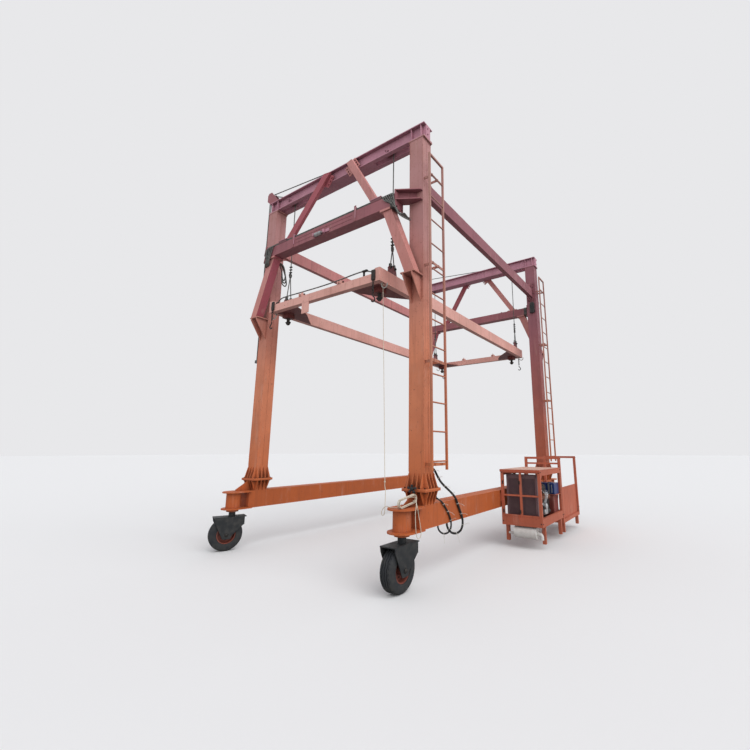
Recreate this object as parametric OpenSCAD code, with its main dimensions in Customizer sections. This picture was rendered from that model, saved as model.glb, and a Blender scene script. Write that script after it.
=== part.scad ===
// Rubber tyred gantry crane: two portals on long sill beams, a rope-hung lifting
// frame between them and four swivelling wheels under the ends.
// Millimetres. +X is the power pack's side, +Y runs along the crane, +Z is up.

/* [Portals] */
// Distance between the leg centres across the crane
leg_span = 3720; // [3500:10:4200]
// Distance between the two portals along the crane
portal_span = 5640; // [5600:10:6200]
// Side of a leg's square tube
leg_w = 250; // [220:5:280]
// Wall of the legs and sills
tube_wall = 10; // [6:1:14]
// Height of the top beams' upper face above the ground
top_z = 6980; // [6700:10:7400]
// Depth of the top beams
top_beam_h = 250; // [220:5:300]
// Overhang of the top beams past the legs' outer faces
top_beam_over = 30; // [10:5:80]
// Thickness of the top beams' flanges
flange_t = 16; // [10:1:24]
// Thickness of the top beams' webs
web_t = 12; // [8:1:20]
// Gap between the two channels of a top beam, where the ropes run
slot_w = 100; // [90:2:120]

/* [Cross beams and braces] */
// Height of the cross beams' upper face
cross_z = 5650; // [5500:10:5800]
// Depth of the cross beams
cross_h = 200; // [180:10:260]
// Width of the cross beams
cross_w = 200; // [160:10:240]
// Length of the cross beams without their end plates
cross_len = 3240; // [3100:10:3280]
// Gap between the legs' outer faces and the cross beams
cross_gap = 55; // [40:5:90]
// Width of the struts between the top beams and the cross beams
strut_w = 130; // [100:5:150]
// Depth of the struts
strut_t = 65; // [50:5:90]
// Side of the knee braces between the cross beams and the legs
knee_w = 160; // [100:5:170]
// Thickness of the pads between the cross beams and the knee braces
knee_pad_t = 36; // [16:2:50]
// Height of the knee braces' seats on the legs
knee_seat_z = 4280; // [4000:10:4500]
// Height of the tie beams' upper face
tie_z = 6030; // [5950:10:6200]
// Depth of the tie beams
tie_h = 240; // [200:5:280]
// Width of the tie beams
tie_w = 100; // [80:5:140]

/* [Sills and wheels] */
// Height of the sills' upper face
sill_z = 975; // [950:5:1050]
// Depth of the sills
sill_h = 300; // [250:5:320]
// Height of the feet's bolted joint above the sills
foot_h = 195; // [150:5:260]
// Side of the bolted flanges under the legs
foot_flange = 390; // [360:5:430]
// Distance from a leg's centre to the sill's end
sill_over = 230; // [200:10:260]
// Distance from a leg's centre to the swivel head beyond it
head_reach = 450; // [420:10:560]
// Radius of the swivel heads' round plates
head_r = 190; // [170:5:220]
// Radius of the swivel heads' drums
drum_r = 120; // [90:5:140]
// Tyre radius
tyre_r = 270; // [240:5:285]
// Tyre width
tyre_w = 180; // [140:5:220]
// Trail of the wheels outwards from their swivel pins
trail = 80; // [40:5:110]
// Radius of the swivel pins
pin_r = 40; // [30:1:50]
// Radius of the wheel axles
axle_r = 25; // [18:1:30]
// Angle at which the near left wheel stands turned
rest_turn = 22; // [0:1:40]

/* [Lifting frame] */
// Height of the lifting frame's upper face
frame_z = 4480; // [4440:10:4520]
// Depth of the lifting frame's side beams
frame_h = 220; // [180:5:240]
// Depth of the lifting frame's end beams
end_h = 140; // [120:5:160]
// Width of the lifting frame's beams
frame_b = 100; // [80:5:120]
// Outer width of the lifting frame
frame_w = 2700; // [2600:10:2800]
// Outer length of the lifting frame
frame_l = 6400; // [6300:10:6450]
// Distance from the frame's long sides in to the locks
lock_in_x = 220.5; // [190:0.5:250]
// Distance from the frame's ends in to the locks
lock_in_y = 273.5; // [250:0.5:300]
// Radius of the locks' stems
lock_r = 30; // [20:1:34]
// Radius of the hoist ropes
rope_r = 10; // [8:1:14]
// Height where each rope meets its sling
sling_z = 5200; // [5180:10:5300]

/* [Power pack and ladders] */
// Width of the power pack
pack_w = 740; // [650:10:850]
// Length of the engine bay
bay_l = 1350; // [1200:10:1500]
// Length of the operator's bay
deck_l = 1400; // [1200:10:1450]
// Place of the power pack's front along the sill
pack_y = -350; // [-500:10:-200]
// Height of the engine bay's roof
pack_z = 1350; // [1250:10:1450]
// Height of the power pack's floor
floor_z = 400; // [350:10:450]
// Height of the operator's rail
rail_z = 1560; // [1500:10:1650]
// Side of the power pack's posts
post_w = 50; // [40:2:60]
// Width of the ladders
ladder_w = 400; // [350:10:450]
// Distance between the ladders' rungs
rung_step = 400; // [300:10:400]

/* [Hidden] */
$fn = 48;
paint = "#c4603f";
dark_paint = "#8c3d33";
black = "#26292b";
steel = "#9a9da0";
dark_red = "#6d2b26";
plate_t = 20;
gusset_t = 12;
run_gap = 0.05;
seat_gap = 0.3;
lx = leg_span / 2;
ly = portal_span / 2;
leg_out = leg_w / 2;
foot_z = sill_z + foot_h;
beam_z0 = top_z - top_beam_h;
beam_len = leg_span + leg_w + 2 * top_beam_over;
cross_y = ly + leg_out + cross_gap + cross_w / 2;
cross_z0 = cross_z - cross_h;
stub_z1 = cross_z + 70;
stub_h = 180;
sill_end = ly + sill_over;
head_y = ly + head_reach;
head_t = 20;
head_z0 = sill_z - sill_h - 38;
crown_t = 14;
crown_z = head_z0 - seat_gap;
tyre_gap = 8;
// The struts stand a little off the crane's middle
strut_foot_left = 1040;
strut_head_left = 190;
strut_foot_right = 1190;
strut_head_right = 440;
strut_drop = 75;
// The left slings are shorter than the right ones
apex_left = 5150;
apex_right = 4960;
fork_z = 2 * tyre_r + tyre_gap + crown_t;
frame_z0 = frame_z - frame_h;
lock_x = frame_w / 2 - lock_in_x;
lock_y = frame_l / 2 - lock_in_y;
housing_h = 80;
rope_x = (frame_w - frame_b) / 2;
lug_t = 20;
lug_h = 130;
shackle_y = 55;
shackle_r = 12;
sling_r = 9;
pack_x0 = lx + leg_out + 20;
pack_x1 = pack_x0 + pack_w;
pack_y1 = pack_y + bay_l;
pack_y2 = pack_y1 + deck_l;
pack_mid = (pack_x0 + pack_x1) / 2;
pack_bar_z = 880;
roof_t = 12;
ledge_w = 380;
ledge_z = 850;
// Gap between the engine bay's last posts and the platform's first ones
gap_w = 20;
// The bracket at the left end of each top beam reaches furthest left
bracket_reach = 2200;
// The origin is under the middle of the whole crane, power pack included
x_mid = (pack_x1 - bracket_reach) / 2;

hose_front_r = 12;
hose_back_r = 16;
gland_l = 25;
gland_wall = 5;
line_r = 4.5;
knot_r = 14;
pull_gap = 0.8;
knot_at = [1637, -3350, 1293];
pull_eye = [(frame_w - frame_b) / 2, -frame_l / 2 + 150, frame_z - frame_h];
hank_x = [1870, 1930];
hank_r = 60;
hank_ends = [[-3360, 1035.3], [-3080, 1075]];

// Routes of the hoses and of the pull rope's slack end
hose_front_route = [
    [1935, -2670, 1060], [1935, -2640, 1060], [1946, -2605, 1050], [1965, -2570, 1030],
    [1988, -2535, 1004], [2002, -2495, 972], [2003, -2450, 935], [2001, -2400, 890],
    [2001, -2350, 840], [2001, -2305, 785], [2001, -2270, 730], [2001, -2252, 675],
    [2000, -2250, 620], [1988, -2258, 570], [1958, -2272, 532], [1912, -2290, 515],
    [1866, -2308, 528], [1834, -2322, 566], [1824, -2330, 612], [1824, -2330, 650]
];
hose_back_route = [
    [1880, -2670, 1460], [1880, -2630, 1460], [1882, -2580, 1450], [1885, -2530, 1425],
    [1888, -2485, 1385], [1892, -2445, 1335], [1898, -2405, 1285], [1908, -2360, 1235],
    [1926, -2305, 1185], [1948, -2245, 1135], [1970, -2185, 1085], [1991, -2130, 1030],
    [2005, -2085, 970], [2006, -2045, 905], [2005, -2000, 840], [2005, -1955, 775],
    [2005, -1915, 705], [2004, -1895, 635], [1996, -1898, 565], [1970, -1912, 505],
    [1920, -1932, 468], [1862, -1955, 465], [1812, -1975, 500], [1786, -1988, 555],
    [1780, -1992, 610], [1780, -1992, 650]
];
lead_route = [
    [1637, -3350, 1278.5], [1637, -3350, 1240], [1651, -3354, 1190], [1655, -3357, 1130],
    [1657, -3361, 1070], [1656, -3365, 1010], [1653, -3369, 955], [1648, -3373, 910],
    [1638, -3376, 884], [1625, -3376, 880], [1616, -3373, 895], [1616, -3368, 925],
    [1625, -3362, 955], [1643, -3355, 978], [1668, -3351, 990], [1700, -3352, 987],
    [1735, -3358, 982], [1775, -3366, 981], [1815, -3372, 984], [1845, -3374, 990],
    [1869.8, -3374, 990]
];
bight_route = [
    [1930.2, -3100, 1095], [1952, -3100, 1095], [1974, -3114, 1085], [1996, -3142, 1060],
    [2018, -3178, 1026], [2038, -3210, 1003], [2054, -3235, 987], [2057, -3250, 961],
    [2057, -3256, 917], [2057, -3256, 869], [2057, -3254, 821], [2057, -3251, 773],
    [2057, -3246, 725], [2057, -3238, 678], [2057, -3222, 640], [2057, -3200, 618],
    [2057, -3175, 612], [2057, -3150, 621], [2057, -3133, 643], [2057, -3128, 678],
    [2057, -3134, 725], [2057, -3147, 773], [2057, -3162, 821], [2057, -3177, 869],
    [2057, -3191, 917], [2057, -3203, 961], [2054, -3207, 989], [2037, -3190, 1003],
    [2018, -3166, 1012], [1992, -3136, 1028], [1972, -3110, 1042], [1952, -3100, 1050], [1930.2, -3100, 1050]
];

// Puts the crane's middle on the part's origin
module crane() {
    translate([-x_mid, 0, 0]) children();
}

// Draws a piece of the far right quarter in the quarter that the signs name
module quarter(sx, sy) {
    mirror([sx < 0 ? 1 : 0, 0, 0]) mirror([0, sy < 0 ? 1 : 0, 0]) children();
}

// Draws a piece in the left and the right half of one portal
module both_sides(sy) {
    for (sx = [-1, 1]) quarter(sx, sy) children();
}

// Upright block standing on z = 0, centred on the Z axis
module block(x, y, z) {
    translate([-x / 2, -y / 2, 0]) cube([x, y, z]);
}

// Box between two corners
module span(lo, hi) {
    translate(lo) cube(hi - lo);
}

// Square bar whose axis runs through two points, reaching past both by over
module bar(a, b, w, over = 0, t = 0) {
    d = b - a;
    len = norm(d);
    flat = norm([d[0], d[1]]);
    translate(a) rotate([0, atan2(flat, d[2]), atan2(d[1], d[0])])
        translate([0, 0, -over]) block(w, t > 0 ? t : w, len + 2 * over);
}

// Right-angled plate in the XZ plane: corner at the origin, legs +X and +Z
module web_plate(x, z, t) {
    translate([0, t / 2, 0]) rotate([90, 0, 0]) linear_extrude(t)
        polygon([[0, 0], [x, 0], [x, z * 0.12], [x * 0.12, z], [0, z]]);
}

// Gussets round a square column of side w, four a side, up or down from the flange
module gussets(w, reach, h, t) {
    for (a = [0 : 90 : 270]) rotate(a)
        for (k = [-3 : 2 : 3]) translate([w / 2, k * (w / 2 - t) / 3, 0]) web_plate(reach, h, t);
}

// Leg tube with its bolted foot, cap plate, seams and the seat of its knee brace
module leg(sx, sy) {
    tube_z0 = foot_z + plate_t;
    color(paint) quarter(sx, sy) translate([lx, ly, 0]) {
        difference() {
            union() {
                translate([0, 0, foot_z]) block(foot_flange, foot_flange, plate_t);
                translate([0, 0, tube_z0]) block(leg_w, leg_w, beam_z0 - tube_z0);
                translate([0, 0, beam_z0 - plate_t]) block(leg_w + 60, leg_w, plate_t);
                translate([0, 0, tube_z0]) gussets(leg_w, (foot_flange - leg_w) / 2 - 4, 200, gusset_t);
                knee_seat();
            }
            translate([0, 0, foot_z - 1])
                block(leg_w - 2 * tube_wall, leg_w - 2 * tube_wall, beam_z0 - plate_t - foot_z);
            for (s = [-1, 1]) translate([s * leg_out, 0, tube_z0 + 220])
                block(6, 8, beam_z0 - tube_z0 - 300);
        }
    }
}

// Seat plate and two triangular gussets on a leg's outer face
module knee_seat() {
    reach = cross_y - ly + 90 - leg_out;
    translate([-leg_out, leg_out, knee_seat_z - plate_t]) cube([leg_w, reach, plate_t]);
    for (x = [-80, 80]) translate([x + 7, leg_out, knee_seat_z - plate_t]) rotate([90, 0, -90])
        linear_extrude(14) polygon([[0, 0], [-reach, 0], [-reach, -40], [0, -400]]);
}

// Sill box with its two swivel heads and the feet under the legs
module sill(sx) {
    inner = leg_w - 2 * tube_wall;
    color(paint) for (m = [sx]) mirror([m < 0 ? 1 : 0, 0, 0]) translate([lx, 0, 0]) difference() {
        union() {
            span([-leg_out, -sill_end, sill_z - sill_h], [leg_out, sill_end, sill_z]);
            for (sy = [-1, 1]) mirror([0, sy < 0 ? 1 : 0, 0]) {
                translate([0, ly, sill_z]) block(leg_w, leg_w, foot_h - plate_t);
                translate([0, ly, foot_z - plate_t]) block(foot_flange, foot_flange, plate_t);
                translate([0, ly, foot_z - plate_t]) mirror([0, 0, 1])
                    gussets(leg_w, (foot_flange - leg_w) / 2 - 4, foot_h - plate_t, gusset_t);
                swivel_head();
                head_gusset();
            }
        }
        span([-inner / 2, -ly + 200, sill_z - sill_h + tube_wall], [inner / 2, ly - 200, sill_z - tube_wall]);
        for (sy = [-1, 1]) translate([0, sy * head_y, 0]) {
            translate([0, 0, head_z0 - 1]) cylinder(r = pin_r, h = 220);
            translate([0, 0, head_z0 + 218]) cylinder(r = pin_r - 12, h = 400);
        }
    }
}

// Two plates with half-round ends past the sill and the drum of the swivel pin between them
module swivel_head() {
    for (z = [sill_z - head_t, sill_z - sill_h]) {
        span([-head_r, sill_end - 40, z], [head_r, head_y, z + head_t]);
        translate([0, head_y, z]) cylinder(r = head_r, h = head_t);
    }
    translate([0, head_y, sill_z - sill_h]) cylinder(r = drum_r, h = sill_h);
    translate([0, head_y, head_z0]) cylinder(r = drum_r - 20, h = sill_z - sill_h - head_z0 + 1);
}

// Sloping plate from the foot's flange down to a swivel head
module head_gusset() {
    y0 = ly + leg_out - 10;
    translate([-8, 0, 0]) rotate([90, 0, 90]) linear_extrude(16)
        polygon([[y0, sill_z - 1], [head_y - 20, sill_z - 1], [head_y - 20, sill_z + 25],
                 [ly + foot_flange / 2 - 5, foot_z - plate_t - 4], [y0, foot_z - plate_t - 4]]);
}

// Two channels back to back with a slot for the ropes, closed below by a cover plate
module top_beam(sy) {
    half = beam_len / 2;
    web_y = slot_w / 2;
    cover_x = 900;
    color(paint) mirror([0, sy < 0 ? 1 : 0, 0]) translate([0, ly, beam_z0]) {
        for (s = [-1, 1]) mirror([0, s < 0 ? 1 : 0, 0]) {
            translate([-half, 0, 0]) rotate([90, 0, 90]) linear_extrude(beam_len)
                polygon([[web_y, 0], [leg_out, 0], [leg_out, flange_t], [web_y + web_t, flange_t],
                         [web_y + web_t, top_beam_h - flange_t], [leg_out, top_beam_h - flange_t],
                         [leg_out, top_beam_h], [web_y, top_beam_h]]);
            for (x = [-lx - leg_out + 40, -lx + leg_out - 20, lx - leg_out + 10, lx + leg_out - 50])
                span([x, web_y + web_t - 1, flange_t - 1], [x + gusset_t, leg_out - 8, top_beam_h - flange_t + 1]);
        }
        for (x = [-half, half - gusset_t]) span([x, -web_y - 1, 0], [x + gusset_t, web_y + 1, top_beam_h]);
        span([-cover_x, -web_y - 1, 0], [cover_x, web_y + 1, 8]);
        for (x = [-1150, -450, 250, 1500]) span([x, -web_y - 1, top_beam_h - 10], [x + 90, web_y + 1, top_beam_h]);
    }
}

// Cross beam outside the legs: box with pressed ridges, end plates and upright straps
module cross_beam(sy) {
    half = cross_len / 2;
    wall = 8;
    strap_x = 790;
    color(paint) mirror([0, sy < 0 ? 1 : 0, 0]) translate([0, cross_y, cross_z0]) difference() {
        union() {
            span([-half, -cross_w / 2, 0], [half, cross_w / 2, cross_h]);
            for (s = [-1, 1]) {
                span([s > 0 ? half : -half - plate_t, -cross_w / 2 - 5, -50],
                     [s > 0 ? half + plate_t : -half, cross_w / 2 + 5, stub_z1 - cross_z0]);
                span([s * strap_x - 22, cross_w / 2 - 1, 5], [s * strap_x + 22, cross_w / 2 + 8, cross_h + 90]);
            }
        }
        span([-half + 60, -cross_w / 2 + wall, wall], [half - 60, cross_w / 2 - wall, cross_h - wall]);
        for (z = [cross_h * 0.3, cross_h * 0.66])
            span([-strap_x + 60, cross_w / 2 - 4, z], [strap_x - 60, cross_w / 2 + 1, z + 14]);
    }
}

// Slanting I-section that carries one end of a cross beam from the leg's face
module corner_stubs(sy) {
    x0 = cross_len / 2 + plate_t;
    y0 = ly + leg_out;
    y1 = cross_y - cross_w / 2;
    y2 = cross_y + cross_w / 2;
    z0 = stub_z1 - stub_h;
    plan = [[x0, y1], [x0, y2], [lx + leg_out, y1 - 5], [lx + leg_out, y0], [lx - leg_out, y0]];
    color(paint) both_sides(sy) {
        for (z = [z0, stub_z1 - flange_t]) translate([0, 0, z]) linear_extrude(flange_t) polygon(plan);
        translate([0, 0, z0]) linear_extrude(stub_h) polygon([
            [x0, cross_y - 8], [x0, cross_y + 8], [lx + 15, y0], [lx - 15, y0]]);
    }
}

// Two struts from slotted head plates on a top beam down to the cross beam's top
module struts(sy) {
    color(paint) for (sx = [-1, 1]) quarter(sx, sy)
        if (sx < 0) strut(strut_foot_left, strut_head_left);
        else strut(strut_foot_right, strut_head_right);
}

// One strut with its head plate and foot plate
module strut(foot_x, head_x) {
    face_y = ly + leg_out;
    foot = [foot_x, cross_y + 20, cross_z + plate_t];
    head = [head_x, face_y + plate_t + strut_t / 2 - 6, top_z - 110];
    lean = atan2(head[0] - foot[0], head[2] - foot[2]);
    translate([foot_x, cross_y - 15, cross_z]) block(280, cross_w - 50, plate_t);
    translate([head_x, face_y, top_z - 160]) rotate([0, lean, 0]) difference() {
        translate([-140, 0, -150]) cube([280, plate_t, 245]);
        for (s = [-1, 1], z = [-120, -50, 20]) translate([s * 112 - 14, -1, z]) cube([28, plate_t + 2, 42]);
    }
    intersection() {
        bar(foot, head, strut_w, 100, strut_t);
        span([0, face_y + plate_t, cross_z + plate_t], [foot_x + 200, cross_y + 200, top_z - strut_drop]);
    }
}

// Two knee braces from the cross beam's ends down to the seats on the legs
module knee_braces(sy) {
    top_x = 1460;
    seat_x = lx + 30;
    z1 = cross_z0 - knee_pad_t;
    color(paint) both_sides(sy) {
        span([top_x - 130, cross_y - cross_w / 2 - 5, z1],
             [top_x + 75, cross_y + cross_w / 2 + 5, z1 + knee_pad_t]);
        intersection() {
            bar([seat_x, cross_y, knee_seat_z], [top_x, cross_y, z1], knee_w, 120);
            span([0, cross_y - 200, knee_seat_z], [lx + 400, cross_y + 200, z1]);
        }
    }
}

// Tie beam between the portals on one side, with deep end plates
module tie_beam(sx) {
    end_y = ly - leg_out;
    wall = 8;
    color(paint) mirror([sx < 0 ? 1 : 0, 0, 0]) translate([lx, 0, tie_z - tie_h]) {
        difference() {
            union() {
                span([-tie_w / 2, -end_y + plate_t, 0], [tie_w / 2, end_y - plate_t, tie_h]);
                for (s = [-1, 1]) {
                    translate([0, s * (end_y - plate_t / 2), -90]) block(180, plate_t, tie_h + 260);
                    mirror([0, s < 0 ? 1 : 0, 0]) translate([0, end_y - plate_t, tie_h])
                        rotate([0, 0, -90]) web_plate(300, 150, gusset_t);
                    mirror([0, s < 0 ? 1 : 0, 0]) translate([0, end_y - plate_t, 0]) mirror([0, 0, 1])
                        rotate([0, 0, -90]) web_plate(200, 80, gusset_t);
                }
            }
            span([-tie_w / 2 + wall, -end_y + 60, wall], [tie_w / 2 - wall, end_y - 60, tie_h - wall]);
        }
    }
}

// Turns of rope round both ends of a cross beam and the two strands along its top
module rope_turns(sy) {
    turn_w = 16;
    pitch = 20;
    turns = 4;
    o = turn_w;
    c = 14;
    hw = cross_w / 2;
    x1 = cross_len / 2 - turn_w - 1;
    x0 = x1 - (turns - 1) * pitch;
    color(black) {
        both_sides(sy) for (i = [0 : turns - 1]) translate([x1 - i * pitch, cross_y, cross_z0])
            rotate([90, 0, 90]) linear_extrude(turn_w) difference() {
                polygon([[-hw - o, c], [-hw + c, -o], [hw - c, -o], [hw + o, c],
                         [hw + o, cross_h - c], [hw - c, cross_h + o], [-hw + c, cross_h + o], [-hw - o, cross_h - c]]);
                polygon([[-hw, 0], [hw, 0], [hw, cross_h], [-hw, cross_h]]);
            }
        mirror([0, sy < 0 ? 1 : 0, 0]) for (i = [0, 1])
            translate([-x0, cross_y + hw - 12 - i, cross_z + rope_r + seat_gap + i * (2 * rope_r + seat_gap)])
                rotate([0, 90, 0]) cylinder(r = rope_r, h = 2 * x0, $fn = 16);
    }
}

// Rope sheave turned about its own axis, with a square groove
module sheave(r, w, bore) {
    groove = rope_r + 2;
    rotate_extrude() polygon([[bore, -w / 2], [r, -w / 2], [r, -groove], [r - groove_depth, -groove],
                              [r - groove_depth, groove], [r, groove], [r, w / 2], [bore, w / 2]]);
}

// Distance from a sheave's axis to the middle of the rope in its groove
function groove_r(r) = r - groove_depth + rope_r + seat_gap;

// Angle of the normal of the line that lies on top of two circles
function top_normal(a, b, ra, rb) = atan2(b[1] - a[1], b[0] - a[0]) + acos((ra - rb) / norm(b - a));

// Point on a circle in the XZ plane
function on_circle(centre, r, angle) = [centre[0] + r * cos(angle), 0, centre[1] + r * sin(angle)];

groove_depth = 15;
sheave_r = 90;
sheave_w = 36;
sheave_z = beam_z0 + top_beam_h / 2;
bracket_z = top_z + 250;
pulley_r = 60;
pulley_w = 30;
pulley_x = bracket_reach - pulley_r - 25;

// Sheaves inside the top beams and the brackets with pulleys on their left ends
module rope_sheaves() {
    color(dark_paint) for (sy = [-1, 1]) mirror([0, sy < 0 ? 1 : 0, 0]) translate([0, ly, 0]) {
        for (s = [-1, 1]) translate([s * rope_x - groove_r(sheave_r), 0, sheave_z]) rotate([90, 0, 0]) {
            sheave(sheave_r, sheave_w, 10);
            translate([0, 0, -slot_w / 2]) cylinder(r = 14, h = slot_w);
        }
        pulley_bracket();
    }
}

// Two leaning cheeks in line with the beam's webs and a double pulley between them
module pulley_bracket() {
    cheek = slot_w / 2;
    half = beam_len / 2;
    for (s = [-1, 1]) mirror([0, s < 0 ? 1 : 0, 0]) translate([0, cheek + web_t, top_z])
        rotate([90, 0, 0]) linear_extrude(web_t)
            polygon([[-half + 250, 0], [-half, 0], [-bracket_reach, 150], [-bracket_reach, 300],
                     [-bracket_reach + 35, 345], [-bracket_reach + 130, 345]]);
    translate([-pulley_x, 0, bracket_z]) rotate([90, 0, 0]) {
        for (s = [-1, 1]) translate([0, 0, s * pulley_w / 2]) sheave(pulley_r, pulley_w, 8);
        translate([0, 0, -cheek - 1]) cylinder(r = 12, h = 2 * cheek + 2);
    }
}

// Ropes from the sheaves over the brackets and down beside the left legs to their lugs
module hauling_ropes() {
    anchor_z = 3500;
    rp = groove_r(pulley_r);
    rs = groove_r(sheave_r);
    x_drop = -pulley_x - rp;
    pulley = [-pulley_x, bracket_z];
    color(black) for (sy = [-1, 1]) mirror([0, sy < 0 ? 1 : 0, 0]) translate([0, ly, 0]) {
        for (s = [-1, 1]) {
            hub = [s * rope_x - rs, sheave_z];
            n = top_normal(pulley, hub, rp, rs);
            side = [0, s * pulley_w / 2, 0];
            translate(side + [x_drop, 0, anchor_z]) cylinder(r = rope_r, h = bracket_z - anchor_z, $fn = 16);
            translate(side) rope_arc(pulley, rp, n, 180);
            rope_arc(hub, rs, 0, n);
            taut_rope(side + on_circle(pulley, rp, n), on_circle(hub, rs, n));
        }
        translate([x_drop - 20, -45, anchor_z - 60]) cube([-lx - leg_out - x_drop + 20, 90, 60]);
    }
}

// Stretch of rope round a sheave between two angles, in the XZ plane
module rope_arc(centre, r, from, to) {
    join = 0.4;
    translate([centre[0], 0, centre[1]]) rotate([90, 0, 0]) rotate(from + join)
        rotate_extrude(angle = to - from - 2 * join, $fn = 64) translate([r, 0]) circle(r = rope_r, $fn = 16);
}

// Round rope between two points
module taut_rope(a, b, r = rope_r) {
    d = b - a;
    translate(a) rotate([0, atan2(norm([d[0], d[1]]), d[2]), atan2(d[1], d[0])])
        cylinder(r = r, h = norm(d), $fn = 16);
}

// Hoist ropes from the sheaves down to the slings
module hoist_ropes() {
    color(black) for (sx = [-1, 1], sy = [-1, 1])
        translate([sx * rope_x, sy * ly, sling_z])
            cylinder(r = rope_r, h = sheave_z - sling_z, $fn = 16);
}

// Ladder up a right-hand leg: two stiles, rungs, wall brackets and a bent top
module ladder(sy) {
    x = lx + leg_out + 150;
    y = ly - 40;
    z0 = 1430;
    z1 = 6300;
    stile = 30;
    color(steel) mirror([0, sy < 0 ? 1 : 0, 0]) {
        for (s = [-1, 1]) translate([x, y + s * ladder_w / 2, z0]) block(stile, stile, z1 - z0);
        span([x - stile / 2, y - ladder_w / 2, z1 - stile], [x + stile / 2, y + ladder_w / 2, z1]);
        for (z = [z0 + 120 : rung_step : z1 - 60])
            translate([x, y - ladder_w / 2, z]) rotate([-90, 0, 0]) cylinder(r = 11, h = ladder_w, $fn = 16);
        for (z = [z0 + 60, z0 + 1500, z0 + 3000, z1 - 370]) {
            for (s = [-1, 1]) span([lx + leg_out, ly + s * 80 - 5, z], [x + 10, ly + s * 80 + 5, z + 40]);
            span([x - 10, y - ladder_w / 2, z], [x, y + ladder_w / 2, z + 40]);
        }
    }
}

// Block between a post of the power pack and the sill's outer face
module sill_bracket(y) {
    span([lx + leg_out, y + 5, sill_z - 200], [pack_x0 + post_w / 2, y + post_w - 5, sill_z - 60]);
}

// Triangular corner plate in a frame's YZ plane or, turned, in its XZ plane
module haunch(size, t) {
    rotate([90, 0, 90]) linear_extrude(t) polygon([[0, 0], [size, 0], [0, -size]]);
}

// Open frame of the engine bay with cross bars, skirt, ledge and angle feet
module pack_frame() {
    z0 = floor_z - 20;
    z1 = pack_z - roof_t;
    rail_h = 90;
    skirt_z = floor_z + 130;
    color(paint) {
        for (x = [pack_x0, pack_x1 - post_w], y = [pack_y, pack_y1 - post_w])
            span([x, y, z0], [x + post_w, y + post_w, z1]);
        for (y = [pack_y, pack_y1 - post_w]) {
            span([pack_x0, y, z1 - 50], [pack_x1, y + post_w, z1]);
            span([pack_x0, y, z0], [pack_x1, y + post_w, skirt_z]);
        }
        span([pack_x0 + 5, pack_y + 10, skirt_z - 1], [pack_x1 - 5, pack_y + 30, skirt_z + 35]);
        span([pack_x0 + 5, pack_y + 10, pack_bar_z], [pack_x1 - 5, pack_y + 30, pack_bar_z + 30]);
        span([pack_mid - 20, pack_y + 8, skirt_z - 1], [pack_mid + 20, pack_y + 32, z1 - 10]);
        for (x = [pack_x0, pack_x1 - post_w]) {
            span([x, pack_y, z1 - rail_h], [x + post_w, pack_y1, z1]);
            span([x, pack_y, z0], [x + post_w, pack_y1, skirt_z - 10]);
        }
        translate([pack_x1 - 15, pack_y + post_w - 1, z1 - rail_h + 1]) haunch(90, 10);
        span([pack_x0 + 5, pack_y + 5, z0], [pack_x1 - 5, pack_y1 - 5, z0 + 10]);
        span([pack_x0 + 5, pack_y1 - ledge_w, ledge_z - 8], [pack_x1 - 5, pack_y1 - 10, ledge_z]);
        for (y = [pack_y, pack_y1 - post_w]) sill_bracket(y);
        for (y = [pack_y + 150, pack_y1 - 160], x = [pack_x0 + 10, pack_x1 - 70]) angle_foot(x, y, z0);
    }
}

// Angle iron under the power pack, ending above the ground
module angle_foot(x, y, z1) {
    z0 = 90;
    span([x, y, z0], [x + 60, y + 8, z1]);
    span([x + 52, y, z0], [x + 60, y + 60, z1]);
}

// Sheet roof over the engine bay, lipped at the front
module pack_roof() {
    color(paint) {
        span([pack_x0 - 8, pack_y - 12, pack_z - roof_t], [pack_x1, pack_y1 - 10, pack_z]);
        span([pack_x0 - 8, pack_y - 12, pack_z - 45], [pack_x1, pack_y - seat_gap, pack_z - roof_t + 1]);
    }
}

// Double radiator behind the front bars: two finned cores between tanks
module pack_radiator() {
    x0 = pack_x0 + 75;
    x1 = pack_x1 - 95;
    y0 = pack_y + 95;
    z0 = floor_z - 10;
    z1 = pack_z - 90;
    mid = (x0 + x1) / 2;
    color(black) {
        for (z = [z0, z1 - 70]) span([x0, y0, z], [x1, y0 + 110, z + 70]);
        for (x = [x0, mid - 20, x1 - 40]) span([x, y0, z0 + 1], [x + 40, y0 + 110, z1 - 1]);
        span([x0 + 5, y0 + 20, z0 + 5], [x1 - 5, y0 + 90, z1 - 5]);
    }
}

// Engine: block, sump, head with covers, fan, air cleaner and flywheel housing
module pack_engine() {
    cx = pack_mid + 60;
    y0 = pack_y + 330;
    y1 = pack_y1 - ledge_w - 40;
    zb = floor_z - 10;
    color(black) {
        span([cx - 120, y0 + 20, zb], [cx + 120, y1 - 60, zb + 130]);
        span([cx - 170, y0, zb + 125], [cx + 170, y1, zb + 400]);
        span([cx - 120, y0 + 20, zb + 395], [cx + 120, y1 - 20, zb + 520]);
        for (k = [0 : 3]) translate([cx, y0 + 75 + k * 120, zb + 515]) cylinder(r = 42, h = 60);
        translate([cx, y0 + 2, zb + 300]) rotate([90, 0, 0]) cylinder(r = 40, h = 70);
        translate([cx, y0 - 40, zb + 300]) rotate([90, 0, 0]) cylinder(r = 150, h = 16);
        translate([cx + 165, y0 + 130, zb + 300]) rotate([0, 90, 0]) cylinder(r = 45, h = 90);
        translate([cx + 175, y0 + 300, zb + 180]) rotate([-90, 0, 0]) cylinder(r = 55, h = 160);
        span([cx + 160, y0 + 340, zb + 150], [cx + 180, y0 + 400, zb + 210]);
        translate([cx + 95, y0 + 190, zb + 600]) rotate([-90, 0, 0]) cylinder(r = 75, h = 240);
        span([cx + 60, y0 + 250, zb + 515], [cx + 110, y0 + 330, zb + 560]);
    }
}

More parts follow.
